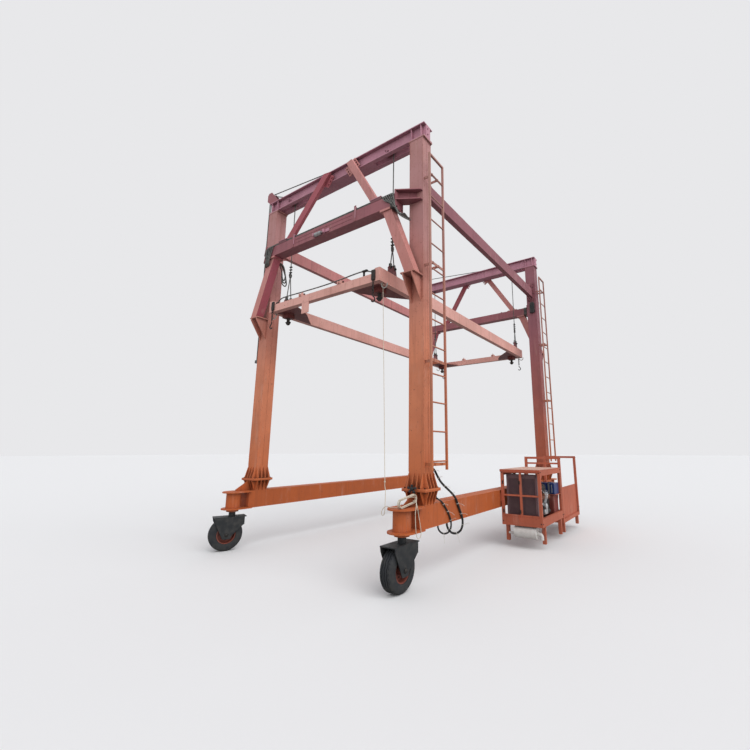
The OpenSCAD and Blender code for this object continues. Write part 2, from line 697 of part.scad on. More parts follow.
// Fuel tank on the ledge at the back of the engine bay
module pack_tank() {
    x0 = pack_x0 + 120;
    x1 = pack_x1 - 40;
    y0 = pack_y1 - ledge_w + 15;
    h = 210;
    color("#2a3f7a") difference() {
        translate([x0, y0, ledge_z]) rotate([90, 0, 90]) linear_extrude(x1 - x0)
            polygon([[12, 0], [ledge_w - 92, 0], [ledge_w - 80, 12], [ledge_w - 80, h - 12], [ledge_w - 92, h],
                     [12, h], [0, h - 12], [0, 12]]);
        translate([x1 - 110, y0 + 100, ledge_z + h - 30]) cylinder(r = 30, h = 40);
    }
    color(black) translate([x1 - 110, y0 + 100, ledge_z + h - 31]) cylinder(r = 29, h = 50);
}

// Oil reservoir under the ledge
module pack_reservoir() {
    color(dark_red) span([pack_x0 + 90, pack_y1 - ledge_w + 10, floor_z - 10],
                         [pack_x1 - post_w - 15, pack_y1 - post_w - 10, ledge_z - 8]);
}

// Muffler across the front, under the skirt, with its elbow, tail pipe and hangers
module pack_muffler() {
    r = 100;
    z1 = floor_z - 20;
    z = z1 - r - 12;
    x0 = pack_x0 + 210;
    x1 = pack_x1 - 130;
    y = pack_y + 90;
    bend = 60;
    pipe = 28;
    color(steel) {
        translate([x0, y, z]) rotate([0, 90, 0]) cylinder(r = r, h = x1 - x0);
        translate([x1 - 1, y, z]) rotate([0, 90, 0]) cylinder(r = pipe, h = 21);
        translate([x1 + 19, y, z - bend]) rotate([90, 0, 0]) rotate(0)
            rotate_extrude(angle = 90) translate([bend, 0]) circle(r = pipe);
        translate([x1 + 19 + bend, y, z - bend - 40]) cylinder(r = pipe, h = 41);
        translate([x0 - 120, y, z - 30]) rotate([0, 90, 0]) cylinder(r = 20, h = 121);
        for (x = [x0 + 50, x1 - 90]) span([x, y - 15, z + r - 15], [x + 30, y + 15, z1]);
    }
}

// Operator's platform: floor, posts, top rail with a lower bar, and angle feet
module deck_frame() {
    z0 = floor_z - 130;
    inner = pack_x0 - 60;
    color(paint) {
        span([pack_x0 + 5, pack_y1 + gap_w + 5, floor_z - 80], [pack_x1 - 5, pack_y2 - 5, floor_z - 60]);
        for (x = [pack_x0, pack_x1 - post_w]) {
            span([x, pack_y1 + gap_w, z0], [x + post_w, pack_y2, floor_z - 60]);
            for (y = [pack_y1 + gap_w, pack_y2 - post_w])
                span([x, y, z0], [x + post_w, y + post_w, rail_z]);
        }
        for (y = [pack_y1 + gap_w, pack_y2 - post_w]) {
            span([pack_x0, y, rail_z - 45], [pack_x1, y + post_w, rail_z]);
            span([pack_x0, y, z0], [pack_x1, y + post_w, floor_z - 60]);
            sill_bracket(y);
        }
        span([pack_x0 + 5, pack_y1 + gap_w + 5, pack_z + 60], [pack_x1 - 5, pack_y1 + gap_w + 30, pack_z + 95]);
        for (y = [pack_y1 + gap_w + 60, pack_y2 - 160], x = [pack_x0 + 10, pack_x1 - 70]) angle_foot(x, y, z0);
    }
}

// Outer sheet panel of the operator's platform with its folded top
module deck_panels() {
    x = pack_x1 - post_w + 10;
    y0 = pack_y1 + gap_w + post_w + seat_gap;
    y1 = pack_y2 - post_w - seat_gap;
    z1 = floor_z + 540;
    color(paint) {
        span([x, y0 + 40, floor_z - 60], [x + 4, y1, z1]);
        span([x - 20, y0 + 40, z1 - 4], [x + 4, y1, z1]);
        span([x - 8, y0 + 40, floor_z - 60], [x + 1, y0 + 48, z1 - 1]);
    }
}

// Fork of one wheel: pin, stem, boxed top with a lip, cheeks and axle
module fork(sx, sy) {
    in_w = tyre_w + 30;
    cheek_t = 12;
    out_w = in_w + 2 * cheek_t;
    back = -tyre_r + 5;
    color(black) wheel_place(sx, sy) {
        translate([0, 0, crown_z - 1]) cylinder(r = pin_r - run_gap, h = 200);
        translate([0, 0, fork_z - 1]) cylinder(r = pin_r + 15, h = crown_z - fork_z + 1);
        translate([0, trail, 0]) {
            span([-out_w / 2, back - 40, fork_z - crown_t], [out_w / 2, tyre_r - 55, fork_z]);
            span([-out_w / 2, back - cheek_t, tyre_r + 150], [out_w / 2, back, fork_z - 1]);
            for (s = [-1, 1]) translate([s * (in_w + cheek_t) / 2, 0, 0]) rotate([90, 0, 90])
                translate([0, 0, -cheek_t / 2]) linear_extrude(cheek_t)
                    polygon([[back - 1, fork_z - 2], [tyre_r - 57, fork_z - 2], [tyre_r - 70, fork_z - 70],
                             [90, tyre_r - 10], [60, tyre_r - 70], [-60, tyre_r - 70], [-90, tyre_r - 10],
                             [back - 1, tyre_r + 150]]);
            translate([-in_w / 2 - cheek_t - 14, 0, tyre_r]) rotate([0, 90, 0])
                cylinder(r = axle_r - run_gap, h = in_w + 2 * cheek_t + 28);
        }
    }
}

// Puts a wheel's piece under its swivel pin, the near left one at its rest angle
module wheel_place(sx, sy) {
    quarter(sx, sy) translate([lx, head_y, 0]) rotate(sx < 0 && sy < 0 ? -rest_turn : 0) children();
}

// Turned wheel rim with hub and disc
module rim(sx, sy) {
    w = tyre_w - 30;
    r = tyre_r * 0.56;
    hub = tyre_w / 2 + 5;
    color(paint) wheel_place(sx, sy) translate([0, trail, tyre_r]) rotate([0, 90, 0]) rotate_extrude()
        polygon([[axle_r, -hub], [60, -hub], [60, -14], [r - 25, -14], [r - 12, -w / 2], [r, -w / 2],
                 [r, w / 2], [r - 12, w / 2], [r - 25, 14], [60, 14], [60, hub], [axle_r, hub]]);
}

// Tyre with rounded shoulders, seated on the rim
module tyre(sx, sy) {
    r0 = tyre_r * 0.56;
    h = tyre_w / 2;
    color(black) wheel_place(sx, sy) translate([0, trail, tyre_r]) rotate([0, 90, 0]) rotate_extrude($fn = 96)
        polygon([[r0, -h + 14], [r0 + 40, -h], [tyre_r - 45, -h], [tyre_r - 18, -h + 8], [tyre_r, -h + 30],
                 [tyre_r, h - 30], [tyre_r - 18, h - 8], [tyre_r - 45, h], [r0 + 40, h], [r0, h - 14]]);
}

// Long beams of the lifting frame, with the pull rope's eye under the near right end
module frame_side_beams() {
    wall = 8;
    color(paint) translate(pull_eye - [0, 0, 30]) block(24, 24, 31);
    color(paint) for (s = [-1, 1]) translate([s * (frame_w / 2 - frame_b / 2), 0, frame_z0]) difference() {
        span([-frame_b / 2, -frame_l / 2, 0], [frame_b / 2, frame_l / 2, frame_h]);
        span([-frame_b / 2 + wall, -frame_l / 2 + 20, wall], [frame_b / 2 - wall, frame_l / 2 - 20, frame_h - wall]);
    }
}

// Cross members at the lifting frame's ends, with clamps on top and the near guide plate
module frame_end_beams() {
    wall = 8;
    x = frame_w / 2 - frame_b;
    color(paint) for (s = [-1, 1]) mirror([0, s < 0 ? 1 : 0, 0])
        translate([0, frame_l / 2 - frame_b / 2, frame_z0]) {
            difference() {
                span([-x, -frame_b / 2, 0], [x, frame_b / 2, end_h]);
                span([-x + 20, -frame_b / 2 + wall, wall], [x - 20, frame_b / 2 - wall, end_h - wall]);
            }
            for (cx = [-480, 480]) {
                for (k = [-1, 1]) span([cx + k * 28 - 8, -frame_b / 2 + 5, end_h - 1], [cx + k * 28 + 8, frame_b / 2 + 12, end_h + 55]);
                span([cx - 10, -8, end_h - 1], [cx + 10, 8, end_h + 90]);
            }
            if (s < 0) span([-430, frame_b / 2 - 14, -200], [-250, frame_b / 2 - 2, 1]);
        }
}

// Gusset plates and lock housings in the lifting frame's corners
module frame_corners() {
    x = frame_w / 2 - frame_b;
    y = frame_l / 2 - frame_b;
    color(dark_red) for (sx = [-1, 1], sy = [-1, 1]) quarter(sx, sy) difference() {
        union() {
            translate([0, 0, frame_z0]) linear_extrude(16)
                polygon([[x, y], [x - 580, y], [x - 540, y - 110], [x - 380, y - 400], [x - 60, y - 760], [x, y - 830]]);
            translate([lock_x, lock_y, frame_z0 - housing_h]) block(160, 160, housing_h + 8);
        }
        translate([lock_x, lock_y, frame_z0 - 200]) cylinder(r = lock_r, h = 400);
    }
}

// Lugs that stand on the side beams, each with two shackle pins
module frame_lugs() {
    color(dark_paint) for (sx = [-1, 1], sy = [-1, 1]) translate([sx * rope_x, sy * ly, frame_z]) {
        translate([-lug_t / 2, 0, 0]) rotate([90, 0, 90]) linear_extrude(lug_t)
            polygon([[-120, 0], [120, 0], [95, lug_h], [60, lug_h + 30], [-60, lug_h + 30], [-95, lug_h]]);
        for (s = [-1, 1]) translate([-30, s * shackle_y, lug_h]) rotate([0, 90, 0]) cylinder(r = shackle_r, h = 60);
    }
}

// Two-legged slings from the lugs' shackles up to the knots under the hoist ropes
module slings() {
    color(black) for (sx = [-1, 1], sy = [-1, 1]) translate([sx * rope_x, sy * ly, 0]) {
        apex = sx < 0 ? apex_left : apex_right;
        for (s = [-1, 1]) translate([0, s * shackle_y, frame_z + lug_h])
            rotate([s * atan2(shackle_y, apex - frame_z - lug_h), 0, 0]) {
                shackle();
                translate([0, 0, 70]) cylinder(r = sling_r, h = norm([shackle_y, apex - frame_z - lug_h]) - 70, $fn = 16);
            }
        translate([0, 0, apex - 40]) cylinder(r = 24, h = 70, $fn = 16);
        translate([0, 0, apex]) cylinder(r = rope_r + 4, h = sling_z - apex, $fn = 16);
    }
}

// Shackle on its pin: two cheeks beside the lug and a bow over it
module shackle() {
    cheek = 8;
    side = lug_t / 2 + seat_gap;
    difference() {
        union() {
            for (x = [-side - cheek, side]) span([x, -20, -22], [x + cheek, 20, 72]);
            span([-side - cheek, -16, 56], [side + cheek, 16, 72]);
        }
        translate([-40, 0, 0]) rotate([0, 90, 0]) cylinder(r = shackle_r + seat_gap, h = 80);
    }
}

// Turning lock: stem, pointed head, collar and lever
module lock(sx, sy) {
    r = lock_r - run_gap;
    z0 = frame_z0 - housing_h - 130;
    z1 = frame_z0 + 16 + seat_gap;
    color(steel) quarter(sx, sy) translate([lock_x, lock_y, 0]) {
        translate([0, 0, z0 + 60]) cylinder(r = r, h = z1 + 20 - z0 - 60);
        intersection() {
            translate([0, 0, z0]) block(100, 52, 60);
            translate([0, 0, z0]) cylinder(r1 = 24, r2 = 64, h = 60.1);
        }
        translate([0, 0, z1]) cylinder(r = 44, h = 24);
        translate([-14, -150, z1]) cube([28, 150, 14]);
    }
}

// Direction of a vector
function unit(v) = v / norm(v);

// Direction of a route at each of its points
function headings(p) = [for (i = [0 : len(p) - 1]) unit(p[min(i + 1, len(p) - 1)] - p[max(i - 1, 0)])];

// The part of a vector that is square to a heading
function square_to(v, h) = unit(v - h * (v * h));

// Tube swept along a route, its rings carried on without twist
module tube(route, r, sides) {
    h = headings(route);
    n = len(route);
    across = [for (i = 0, a = square_to([0.3, 0.5, 0.81], h[0]); i < n;
                   i = i + 1, a = i < n ? square_to(a, h[i]) : a) a];
    points = [for (i = [0 : n - 1], k = [0 : sides - 1])
        route[i] + r * (cos(360 * k / sides) * across[i] + sin(360 * k / sides) * cross(h[i], across[i]))];
    walls = [for (i = [0 : n - 2], k = [0 : sides - 1])
        let (a = i * sides + k, b = i * sides + (k + 1) % sides)
        each [[a, a + sides, b + sides], [a, b + sides, b]]];
    first = [for (k = [0 : sides - 1]) k];
    last = [for (k = [sides - 1 : -1 : 0]) (n - 1) * sides + k];
    polyhedron(points = points, faces = concat([first], walls, [last]));
}

// Glands where the hoses leave the leg and enter the sill from below
module hose_fittings() {
    color(steel) for (end = [[hose_front_route, hose_front_r], [hose_back_route, hose_back_r]]) {
        route = end[0];
        translate(route[0] - [0, gland_l, 0]) rotate([-90, 0, 0])
            cylinder(r = end[1] + gland_wall, h = gland_l - seat_gap);
        translate(route[len(route) - 1] + [0, 0, seat_gap])
            cylinder(r = end[1] + gland_wall, h = gland_l - seat_gap);
    }
}

// Pull rope from the eye on the lifting frame down to its knot
module pull_rope() {
    top = pull_eye - [0, 0, 30 + pull_gap];
    color("white") taut_rope(knot_at + (knot_r + seat_gap) * unit(top - knot_at), top, line_r);
}

// Hank of slack rope on the near right swivel head
module rope_hank() {
    color("white") translate([hank_x[0], 0, 0]) rotate([90, 0, 90]) linear_extrude(hank_x[1] - hank_x[0])
        hull() for (end = hank_ends) translate(end) circle(r = hank_r);
}

crane() leg(-1, -1);  // leg_near_left
crane() leg(1, -1);  // leg_near_right
crane() leg(-1, 1);  // leg_far_left
crane() leg(1, 1);  // leg_far_right
crane() sill(-1);  // sill_left
crane() sill(1);  // sill_right
crane() for (sy = [-1, 1]) top_beam(sy);  // top_beams
crane() for (sy = [-1, 1]) cross_beam(sy);  // cross_beams
crane() for (sy = [-1, 1]) corner_stubs(sy);
crane() for (sy = [-1, 1]) struts(sy);
crane() for (sy = [-1, 1]) knee_braces(sy);
crane() for (sx = [-1, 1]) tie_beam(sx);  // tie_beams
crane() for (sy = [-1, 1]) rope_turns(sy);
crane() rope_sheaves();
crane() hauling_ropes();
crane() hoist_ropes();
crane() for (sy = [-1, 1]) ladder(sy);  // ladders
crane() pack_frame();
crane() pack_roof();
crane() pack_radiator();
crane() pack_engine();
crane() pack_tank();
crane() pack_reservoir();
crane() pack_muffler();
crane() deck_frame();
crane() deck_panels();
crane() fork(-1, -1);  // fork_near_left
crane() fork(1, -1);  // fork_near_right
crane() fork(-1, 1);  // fork_far_left
crane() fork(1, 1);  // fork_far_right
crane() rim(-1, -1);  // rim_near_left
crane() rim(1, -1);  // rim_near_right
crane() rim(-1, 1);  // rim_far_left
crane() rim(1, 1);  // rim_far_right
crane() tyre(-1, -1);  // tyre_near_left
crane() tyre(1, -1);  // tyre_near_right
crane() tyre(-1, 1);  // tyre_far_left
crane() tyre(1, 1);  // tyre_far_right
crane() frame_side_beams();
crane() frame_end_beams();
crane() frame_corners();
crane() frame_lugs();
crane() slings();
crane() lock(-1, -1);  // lock_near_left
crane() lock(1, -1);  // lock_near_right
crane() lock(-1, 1);  // lock_far_left
crane() lock(1, 1);  // lock_far_right
crane() hose_fittings();
color(black) crane() tube(hose_front_route, hose_front_r, 12);  // hose_front
color(black) crane() tube(hose_back_route, hose_back_r, 12);  // hose_back
crane() pull_rope();
color("white") crane() translate(knot_at) sphere(r = knot_r);  // rope_knot
color("white") crane() tube(lead_route, line_r, 8);  // rope_lead
crane() rope_hank();
color("white") crane() tube(bight_route, line_r, 8);  // rope_bight
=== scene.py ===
"""Looks of a rubber tyred gantry crane: camera, light, weathered paint, ropes, hoses, wheels and power pack.

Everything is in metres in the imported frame: +X is the power pack's side, +Y runs along the crane, +Z is up.
"""

import math
import random

import bmesh
import bpy
from mathutils import Matrix, Vector

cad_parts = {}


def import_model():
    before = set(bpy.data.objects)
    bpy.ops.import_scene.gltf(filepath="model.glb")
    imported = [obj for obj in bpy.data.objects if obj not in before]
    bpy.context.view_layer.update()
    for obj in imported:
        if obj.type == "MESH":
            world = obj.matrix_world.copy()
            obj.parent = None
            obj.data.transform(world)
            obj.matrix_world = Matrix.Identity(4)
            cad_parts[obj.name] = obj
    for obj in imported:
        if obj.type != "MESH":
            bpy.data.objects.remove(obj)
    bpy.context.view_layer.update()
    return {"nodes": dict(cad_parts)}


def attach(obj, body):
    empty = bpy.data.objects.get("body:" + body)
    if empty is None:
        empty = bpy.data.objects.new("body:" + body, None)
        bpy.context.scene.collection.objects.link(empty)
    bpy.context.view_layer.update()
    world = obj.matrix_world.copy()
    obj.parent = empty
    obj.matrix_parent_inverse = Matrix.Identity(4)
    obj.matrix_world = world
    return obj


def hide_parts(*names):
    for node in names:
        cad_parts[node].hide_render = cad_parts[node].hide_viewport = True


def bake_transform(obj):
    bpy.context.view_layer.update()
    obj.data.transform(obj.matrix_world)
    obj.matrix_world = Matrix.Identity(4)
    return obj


IMAGE_PX = 750
SENSOR_MM = 36.0

# The photograph's camera, fitted to the crane's corners: focal length and centre in pixels, then place and turn
FOCAL_PX = 397.78
CENTRE_PX = (416.14, 365.01)
CAMERA_AT = (4.7385, -7.613, 1.699)
CAMERA_PITCH = math.radians(12.073)
CAMERA_YAW = math.radians(34.035)

CRANE = "crane"
LIFTING = "lifting_frame"
CORNERS = {"near_left": (-1, -1), "near_right": (1, -1), "far_left": (-1, 1), "far_right": (1, 1)}
PORTALS = ((-1, "near"), (1, "far"))
RIGHT = (1, 0, 0)
FRONT = (0, -1, 0)
UP = (0, 0, 1)

# The crane's main sizes, from its middle and the ground, as the frame has them
MID_X = -0.2725
LEG_X = 1.86
LEG_Y = 2.82
LEG_HALF = 0.125
LEG_SEAT = 4.28
FLANGE_TOP = 1.19
FLANGE_UNDER = 1.15
FLANGE_BOLTS = 0.165
SILL_TOP = 0.975
SILL_UNDER = 0.675
SILL_FACE = LEG_X + LEG_HALF
HEAD_Y = 3.27
BEAM_TOP = 6.98
BEAM_UNDER = 6.73
BEAM_WEB = 0.062
BEAM_END = 2.015
CROSS_Y = 3.1
CROSS_TOP = 5.65
CROSS_HALF = 0.1
CROSS_FACE = CROSS_Y + CROSS_HALF
CROSS_END = 1.6405
TIE_TOP = 6.03
TIE_END = 2.675
LADDER_BRACKETS = (1.51, 2.95, 4.45, 5.95)
ROPE_X = 1.3
ROPE_TOP = 6.855
SLING_TOP = 5.2
ROPE_R = 0.01
PULL_R = 0.0045
FRAME_TOP = 4.48
FRAME_UNDER = 4.26
END_BEAM_TOP = 4.40
END_BEAM_Y = -3.15
PACK_LOW = (2.005, -0.35, 0.38)
PACK_HIGH = (2.745, 1.0, 1.35)
DECK_BACK = 2.4
TYRE_R = 0.27
WHEEL_TRAIL = 0.08
REST_TURN = 22


def srgb(code):
    """Linear colour of a #rrggbb code."""
    parts = [int(code[i : i + 2], 16) / 255 for i in (1, 3, 5)]
    return tuple(c / 12.92 if c < 0.04045 else ((c + 0.055) / 1.055) ** 2.4 for c in parts) + (1.0,)


# Materials


class Nodes:
    """Adds nodes to a tree."""

    def __init__(self, tree):
        self.tree = tree

    def feed(self, socket, value):
        """Sets a socket from a number, a colour or another node's output."""
        if isinstance(value, bpy.types.NodeSocket):
            self.tree.links.new(value, socket)
        else:
            socket.default_value = value

    def node(self, kind, sockets=None, **settings):
        """A new node with its settings, and what goes into its sockets."""
        made = self.tree.nodes.new(kind)
        for key, value in settings.items():
            setattr(made, key, value)
        for key, value in (sockets or {}).items():
            self.feed(made.inputs[key], value)
        return made


class Shader(Nodes):
    """A node material whose coordinates are metres on the part at rest."""

    def __init__(self, name):
        self.material = bpy.data.materials.new(name)
        self.material.use_nodes = True
        super().__init__(self.material.node_tree)
        self.bsdf = self.tree.nodes["Principled BSDF"]
        self.place = self.node("ShaderNodeTexCoord").outputs["Object"]

    def noise(self, scale, detail=4.0, rough=0.6, stretch=None):
        place = self.place
        if stretch:
            place = self.node("ShaderNodeMapping", {"Vector": place, "Scale": stretch}).outputs["Vector"]
        sockets = {"Vector": place, "Scale": scale, "Detail": detail, "Roughness": rough}
        return self.node("ShaderNodeTexNoise", sockets, noise_type="FBM").outputs["Fac"]

    def ramp(self, value, low, high):
        """0 below low, 1 above high, smooth between."""
        sockets = {"Value": value, "From Min": low, "From Max": high}
        return self.node("ShaderNodeMapRange", sockets, interpolation_type="SMOOTHSTEP").outputs["Result"]

    def math(self, operation, a, b):
        return self.node("ShaderNodeMath", {0: a, 1: b}, operation=operation).outputs[0]

    def over(self, colour, code, share, amount=None):
        """A colour with another laid over it, by a share from 0 to 1 and at most by the amount."""
        if amount is not None:
            share = self.math("MULTIPLY", share, amount)
        sockets = {"Factor": share, "A": colour, "B": srgb(code)}
        return self.node("ShaderNodeMix", sockets, data_type="RGBA").outputs["Result"]

    def part(self, vector, axis):
        """One coordinate of a vector."""
        return self.node("ShaderNodeSeparateXYZ", {0: vector}).outputs[axis]

    def normal(self):
        return self.node("ShaderNodeNewGeometry").outputs["Normal"]

    def facing(self, axis, sign=1.0):
        """1 on faces that look along an axis, 0 on those that look across it."""
        return self.ramp(self.math("MULTIPLY", self.part(self.normal(), axis), sign), 0.4, 0.9)

    def edge(self, radius):
        """1 along convex and concave edges, 0 on flat faces."""
        bevel = self.node("ShaderNodeBevel", {"Radius": radius}, samples=4).outputs[0]
        dot = self.node("ShaderNodeVectorMath", {0: bevel, 1: self.normal()}, operation="DOT_PRODUCT")
        return self.ramp(self.math("SUBTRACT", 1.0, dot.outputs["Value"]), 0.02, 0.2)

    def corner_shade(self, reach):
        """Painted shade: 1 deep in corners, where little light reaches, 0 in the open."""
        lit = self.node("ShaderNodeAmbientOcclusion", {"Distance": reach}, samples=4).outputs["AO"]
        return self.ramp(self.math("SUBTRACT", 1.0, lit), 0.25, 0.85)

    def bump(self, value, strength, distance):
        """Raises the surface where the value is high, on top of any bump before."""
        normal = self.bsdf.inputs["Normal"]
        sockets = {"Strength": strength, "Distance": distance, "Height": value}
        if normal.is_linked:
            sockets["Normal"] = normal.links[0].from_socket
        self.feed(normal, self.node("ShaderNodeBump", sockets).outputs[0])

    def varied(self, base, value, gain):
        """A number that grows with a value, by a gain."""
        return self.math("ADD", base, self.math("MULTIPLY", value, gain))

    def finish(self, colour, rough, metallic=0.0):
        for socket, value in (("Base Color", colour), ("Roughness", rough), ("Metallic", metallic)):
            self.feed(self.bsdf.inputs[socket], value)
        return self.material


def weathered_paint(name, low, high, dark, mid=None, left=None, top=None):
    """Site-worn red oxide paint: warmer near the ground, paler above, with chalk, runs, rust bloom and bare edges,
    and painted shade.

    The middle colour lies between the low and the high one. The left colour is painted light and shade on pieces
    left of the middle, up high or where they face right, and the top colour that of faces that look up.
    """
    s = Shader(name)
    bare = "#6d3a2a"
    height = s.part(s.place, "Z")
    colour = srgb(low)
    for code, start, end in ((mid, 0.9, 2.8), (high, 2.6, 5.4)) if mid else ((high, 0.6, 5.6),):
        colour = s.over(colour, code, s.ramp(height, start, end))
    # Painted light and shade: the left colour darkens the left struts and the left knee braces' faces that look
    # right and down, and lightens the whole left tie beam as if lit.
    if left:
        beside = s.ramp(s.math("MULTIPLY", s.part(s.place, "X"), -1.0), 0.1, 0.3)
        where = s.math("MAXIMUM", s.ramp(height, 5.5, 5.6), s.facing("X"))
        colour = s.over(colour, left, s.math("MULTIPLY", beside, where))
    if top:
        colour = s.over(colour, top, s.facing("Z"))
    patches = s.ramp(s.noise(1.3, 5.0), 0.38, 0.66)
    runs = s.ramp(s.noise(1.0, 6.0, 0.62, stretch=(17, 17, 0.7)), 0.5, 0.72)
    chalk = s.ramp(s.noise(1.0, 5.0, stretch=(7, 7, 1.6)), 0.54, 0.74)
    spots = s.ramp(s.noise(26.0, 6.0, 0.7), 0.6, 0.68)
    edge = s.math("MULTIPLY", s.edge(0.006), s.ramp(s.noise(14.0), 0.45, 0.62))
    layers = (
        (dark, patches, 0.26),
        (dark, runs, 0.34),
        ("#cfae9f", chalk, 0.22),
        (bare, spots, 0.6),
        # Painted shade, darker deep in corners.
        ("#3a201c", s.corner_shade(0.12), 0.55),
        # Painted shade, darker on faces that look down.
        ("#432329", s.facing("Z", -1.0), 0.5),
        (bare, edge, 0.7),
    )
    for code, share, amount in layers:
        colour = s.over(colour, code, share, amount)
    s.bump(s.noise(55.0, 5.0), 0.12, 0.003)
    s.bump(spots, 0.2, 0.0015)
    return s.finish(colour, s.varied(0.5, s.noise(9.0), 0.3))


def rolled_steel(name, base, stain, metallic, rough):
    """Worn steel with stains along the piece."""
    s = Shader(name)
    stains = s.ramp(s.noise(1.0, 6.0, 0.65, stretch=(30, 30, 3)), 0.42, 0.7)
    colour = s.over(srgb(base), stain, stains, 0.6)
    colour = s.over(colour, stain, s.ramp(s.noise(70.0, 4.0, 0.7), 0.58, 0.7), 0.35)
    s.bump(s.noise(90.0, 3.0), 0.1, 0.001)
    return s.finish(colour, s.varied(rough, stains, 0.25), metallic)


def wire_rope(name, base, gleam):
    """Greased wire rope: slanting bands of painted highlight for the lay of its strands, grease between them, and
    painted shade where it lies close to other things.
    """
    s = Shader(name)
    pitch = 0.045
    sockets = {"Vector": s.place, "Scale": 1.0 / pitch}
    wave = s.node("ShaderNodeTexWave", sockets, wave_type="BANDS", bands_direction="DIAGONAL", wave_profile="SIN")
    strands = wave.outputs["Fac"]
    # Painted highlight along the strands' crowns, which also carry the bump.
    colour = s.over(srgb(base), gleam, strands)
    colour = s.over(colour, base, s.ramp(s.noise(6.0, 5.0), 0.4, 0.7), 0.6)
    # Painted shade, near black where the rope lies close to other things.
    colour = s.over(colour, "#0d0e0f", s.corner_shade(0.04))
    s.bump(strands, 0.6, 0.003)
    return s.finish(colour, 0.55, 0.35)


def plain_coat(name, base, dust, rough=0.5, metallic=0.0, scale=12.0, share=0.4, bump=0.1, close_shade=None):
    """Paint, rubber or plastic of one colour under patchy dust, with painted shade between what lies close."""
    s = Shader(name)
    patches = s.ramp(s.noise(scale, 5.0, 0.65), 0.4, 0.72)
    colour = s.over(srgb(base), dust, patches, share)
    # Painted shade where things lie close.
    if close_shade:
        colour = s.over(colour, close_shade, s.corner_shade(0.02), 0.8)
    s.bump(s.noise(scale * 9), bump, 0.002)
    return s.finish(colour, s.varied(rough, patches, 0.2), metallic)


# The values of each material, in the order in which its recipe takes them
COATS = {
    weathered_paint: {
        "leg_paint": ("#cf6f3d", "#c08b89", "#8f5038", "#e08a64"),
        "beam_paint": ("#c8785a", "#cb92a3", "#8a5560"),
        # brace_paint's last colour is painted shade on the left braces.
        "brace_paint": ("#d4794f", "#d3908b", "#965a4e", None, "#ae5765"),
        # cross_paint and the first three colours of tie_paint are a darker copy of the beam paint: painted shade.
        "cross_paint": ("#b0604b", "#a4656c", "#6c3d44"),
        # tie_paint's last colour is painted light on the left tie beam.
        "tie_paint": ("#b0604b", "#9a5f68", "#6c3d44", None, "#d28b88"),
        "ladder_paint": ("#c8703f", "#bd8c82", "#7d4c3c"),
        "sill_paint": ("#bc5e2a", "#b4705c", "#8a4526"),
        "frame_paint": ("#e09474", "#efb8ae", "#9a6152"),
        "pack_paint": ("#c1664a", "#b06a58", "#7d3a26"),
        "dark_paint": ("#8a4637", "#7f5056", "#52292a"),
        # far_paint is a darker, mauver copy of the leg paint: painted shade on the far legs.
        "far_paint": ("#b9623f", "#9a626c", "#6c3c44"),
        "red_paint": ("#7c3128", "#6d2f2c", "#4a1e1b"),
        "sheet": ("#b8573c", "#b8573c", "#96604c", None, None, "#d3aa98"),
    },
    plain_coat: {
        "black_steel": ("#23272a", "#5d5a56", 0.5, 0.2),
        "iron": ("#2c2b2b", "#5a4a40", 0.55, 0.4, 18.0, 0.5),
        "rubber": ("#22252a", "#5a5852", 0.75, 0.0, 7.0, 0.4, 0.3),
        "hose": ("#17191a", "#403d3a", 0.55, 0.0, 10.0, 0.3),
        "blue": ("#20386f", "#46538a", 0.35, 0.0, 6.0, 0.4),
        "mauve": ("#725a5f", "#8c7674", 0.6, 0.1, 9.0, 0.5),
        "white_metal": ("#dfddd9", "#a5a09a", 0.4, 0.1, 9.0, 0.3),
        # cloth_rope's last colour is painted shade where the rope lies close to itself and other parts.
        "cloth_rope": ("#ddd3c0", "#a5957f", 0.8, 0.0, 30.0, 0.45, 0.3, "#4a3d33"),
        "nylon": ("#e4e2da", "#b9b5aa", 0.45),
    },
    rolled_steel: {
        "rusty": ("#7a4a33", "#4a2a1e", 0.2, 0.7),
        "steel": ("#a9abad", "#6b625b", 0.75, 0.35),
        "galvanised": ("#b9bab6", "#8c857b", 0.6, 0.45),
        "silver": ("#d2d4d6", "#9a9894", 0.8, 0.3),
    },
    # The rope's second colour is a painted highlight on its strands.
    wire_rope: {"rope": ("#303234", "#8c8c86")},
}

# The material of a CAD node, by the longest of these starts that its name has
NODE_COATS = {
    "leg": "leg_paint", "leg_far": "far_paint", "sill": "sill_paint", "ladders": "ladder_paint",
    "top_beams": "beam_paint", "cross_beams": "cross_paint", "corner_stubs": "cross_paint",
    "struts": "brace_paint", "knee": "brace_paint", "tie": "tie_paint", "rope_sheaves": "cross_paint",
    "rope_turns": "rope", "hauling": "rope", "hoist": "rope", "slings": "rope",
    "rope_": "cloth_rope", "pull_rope": "cloth_rope", "hose": "hose", "hose_fittings": "steel",
    "pack": "pack_paint", "pack_roof": "sheet", "pack_reservoir": "red_paint", "pack_radiator": "mauve",
    "pack_engine": "iron", "pack_tank": "blue", "pack_muffler": "white_metal", "deck": "pack_paint",
    "fork": "black_steel", "rim": "dark_paint", "tyre": "rubber", "lock": "iron",
    "frame": "frame_paint", "frame_corners": "red_paint", "frame_lugs": "dark_paint",
}


def make_materials():
    return {name: recipe(name, *values) for recipe, coats in COATS.items() for name, values in coats.items()}


def material_of(node):
    """The material of a CAD node, by its name."""
    return NODE_COATS[max((start for start in NODE_COATS if node.startswith(start)), key=len)]


# Shapes


def at(x, y, z):
    """A point given from the crane's middle."""
    return Vector((x + MID_X, y, z))


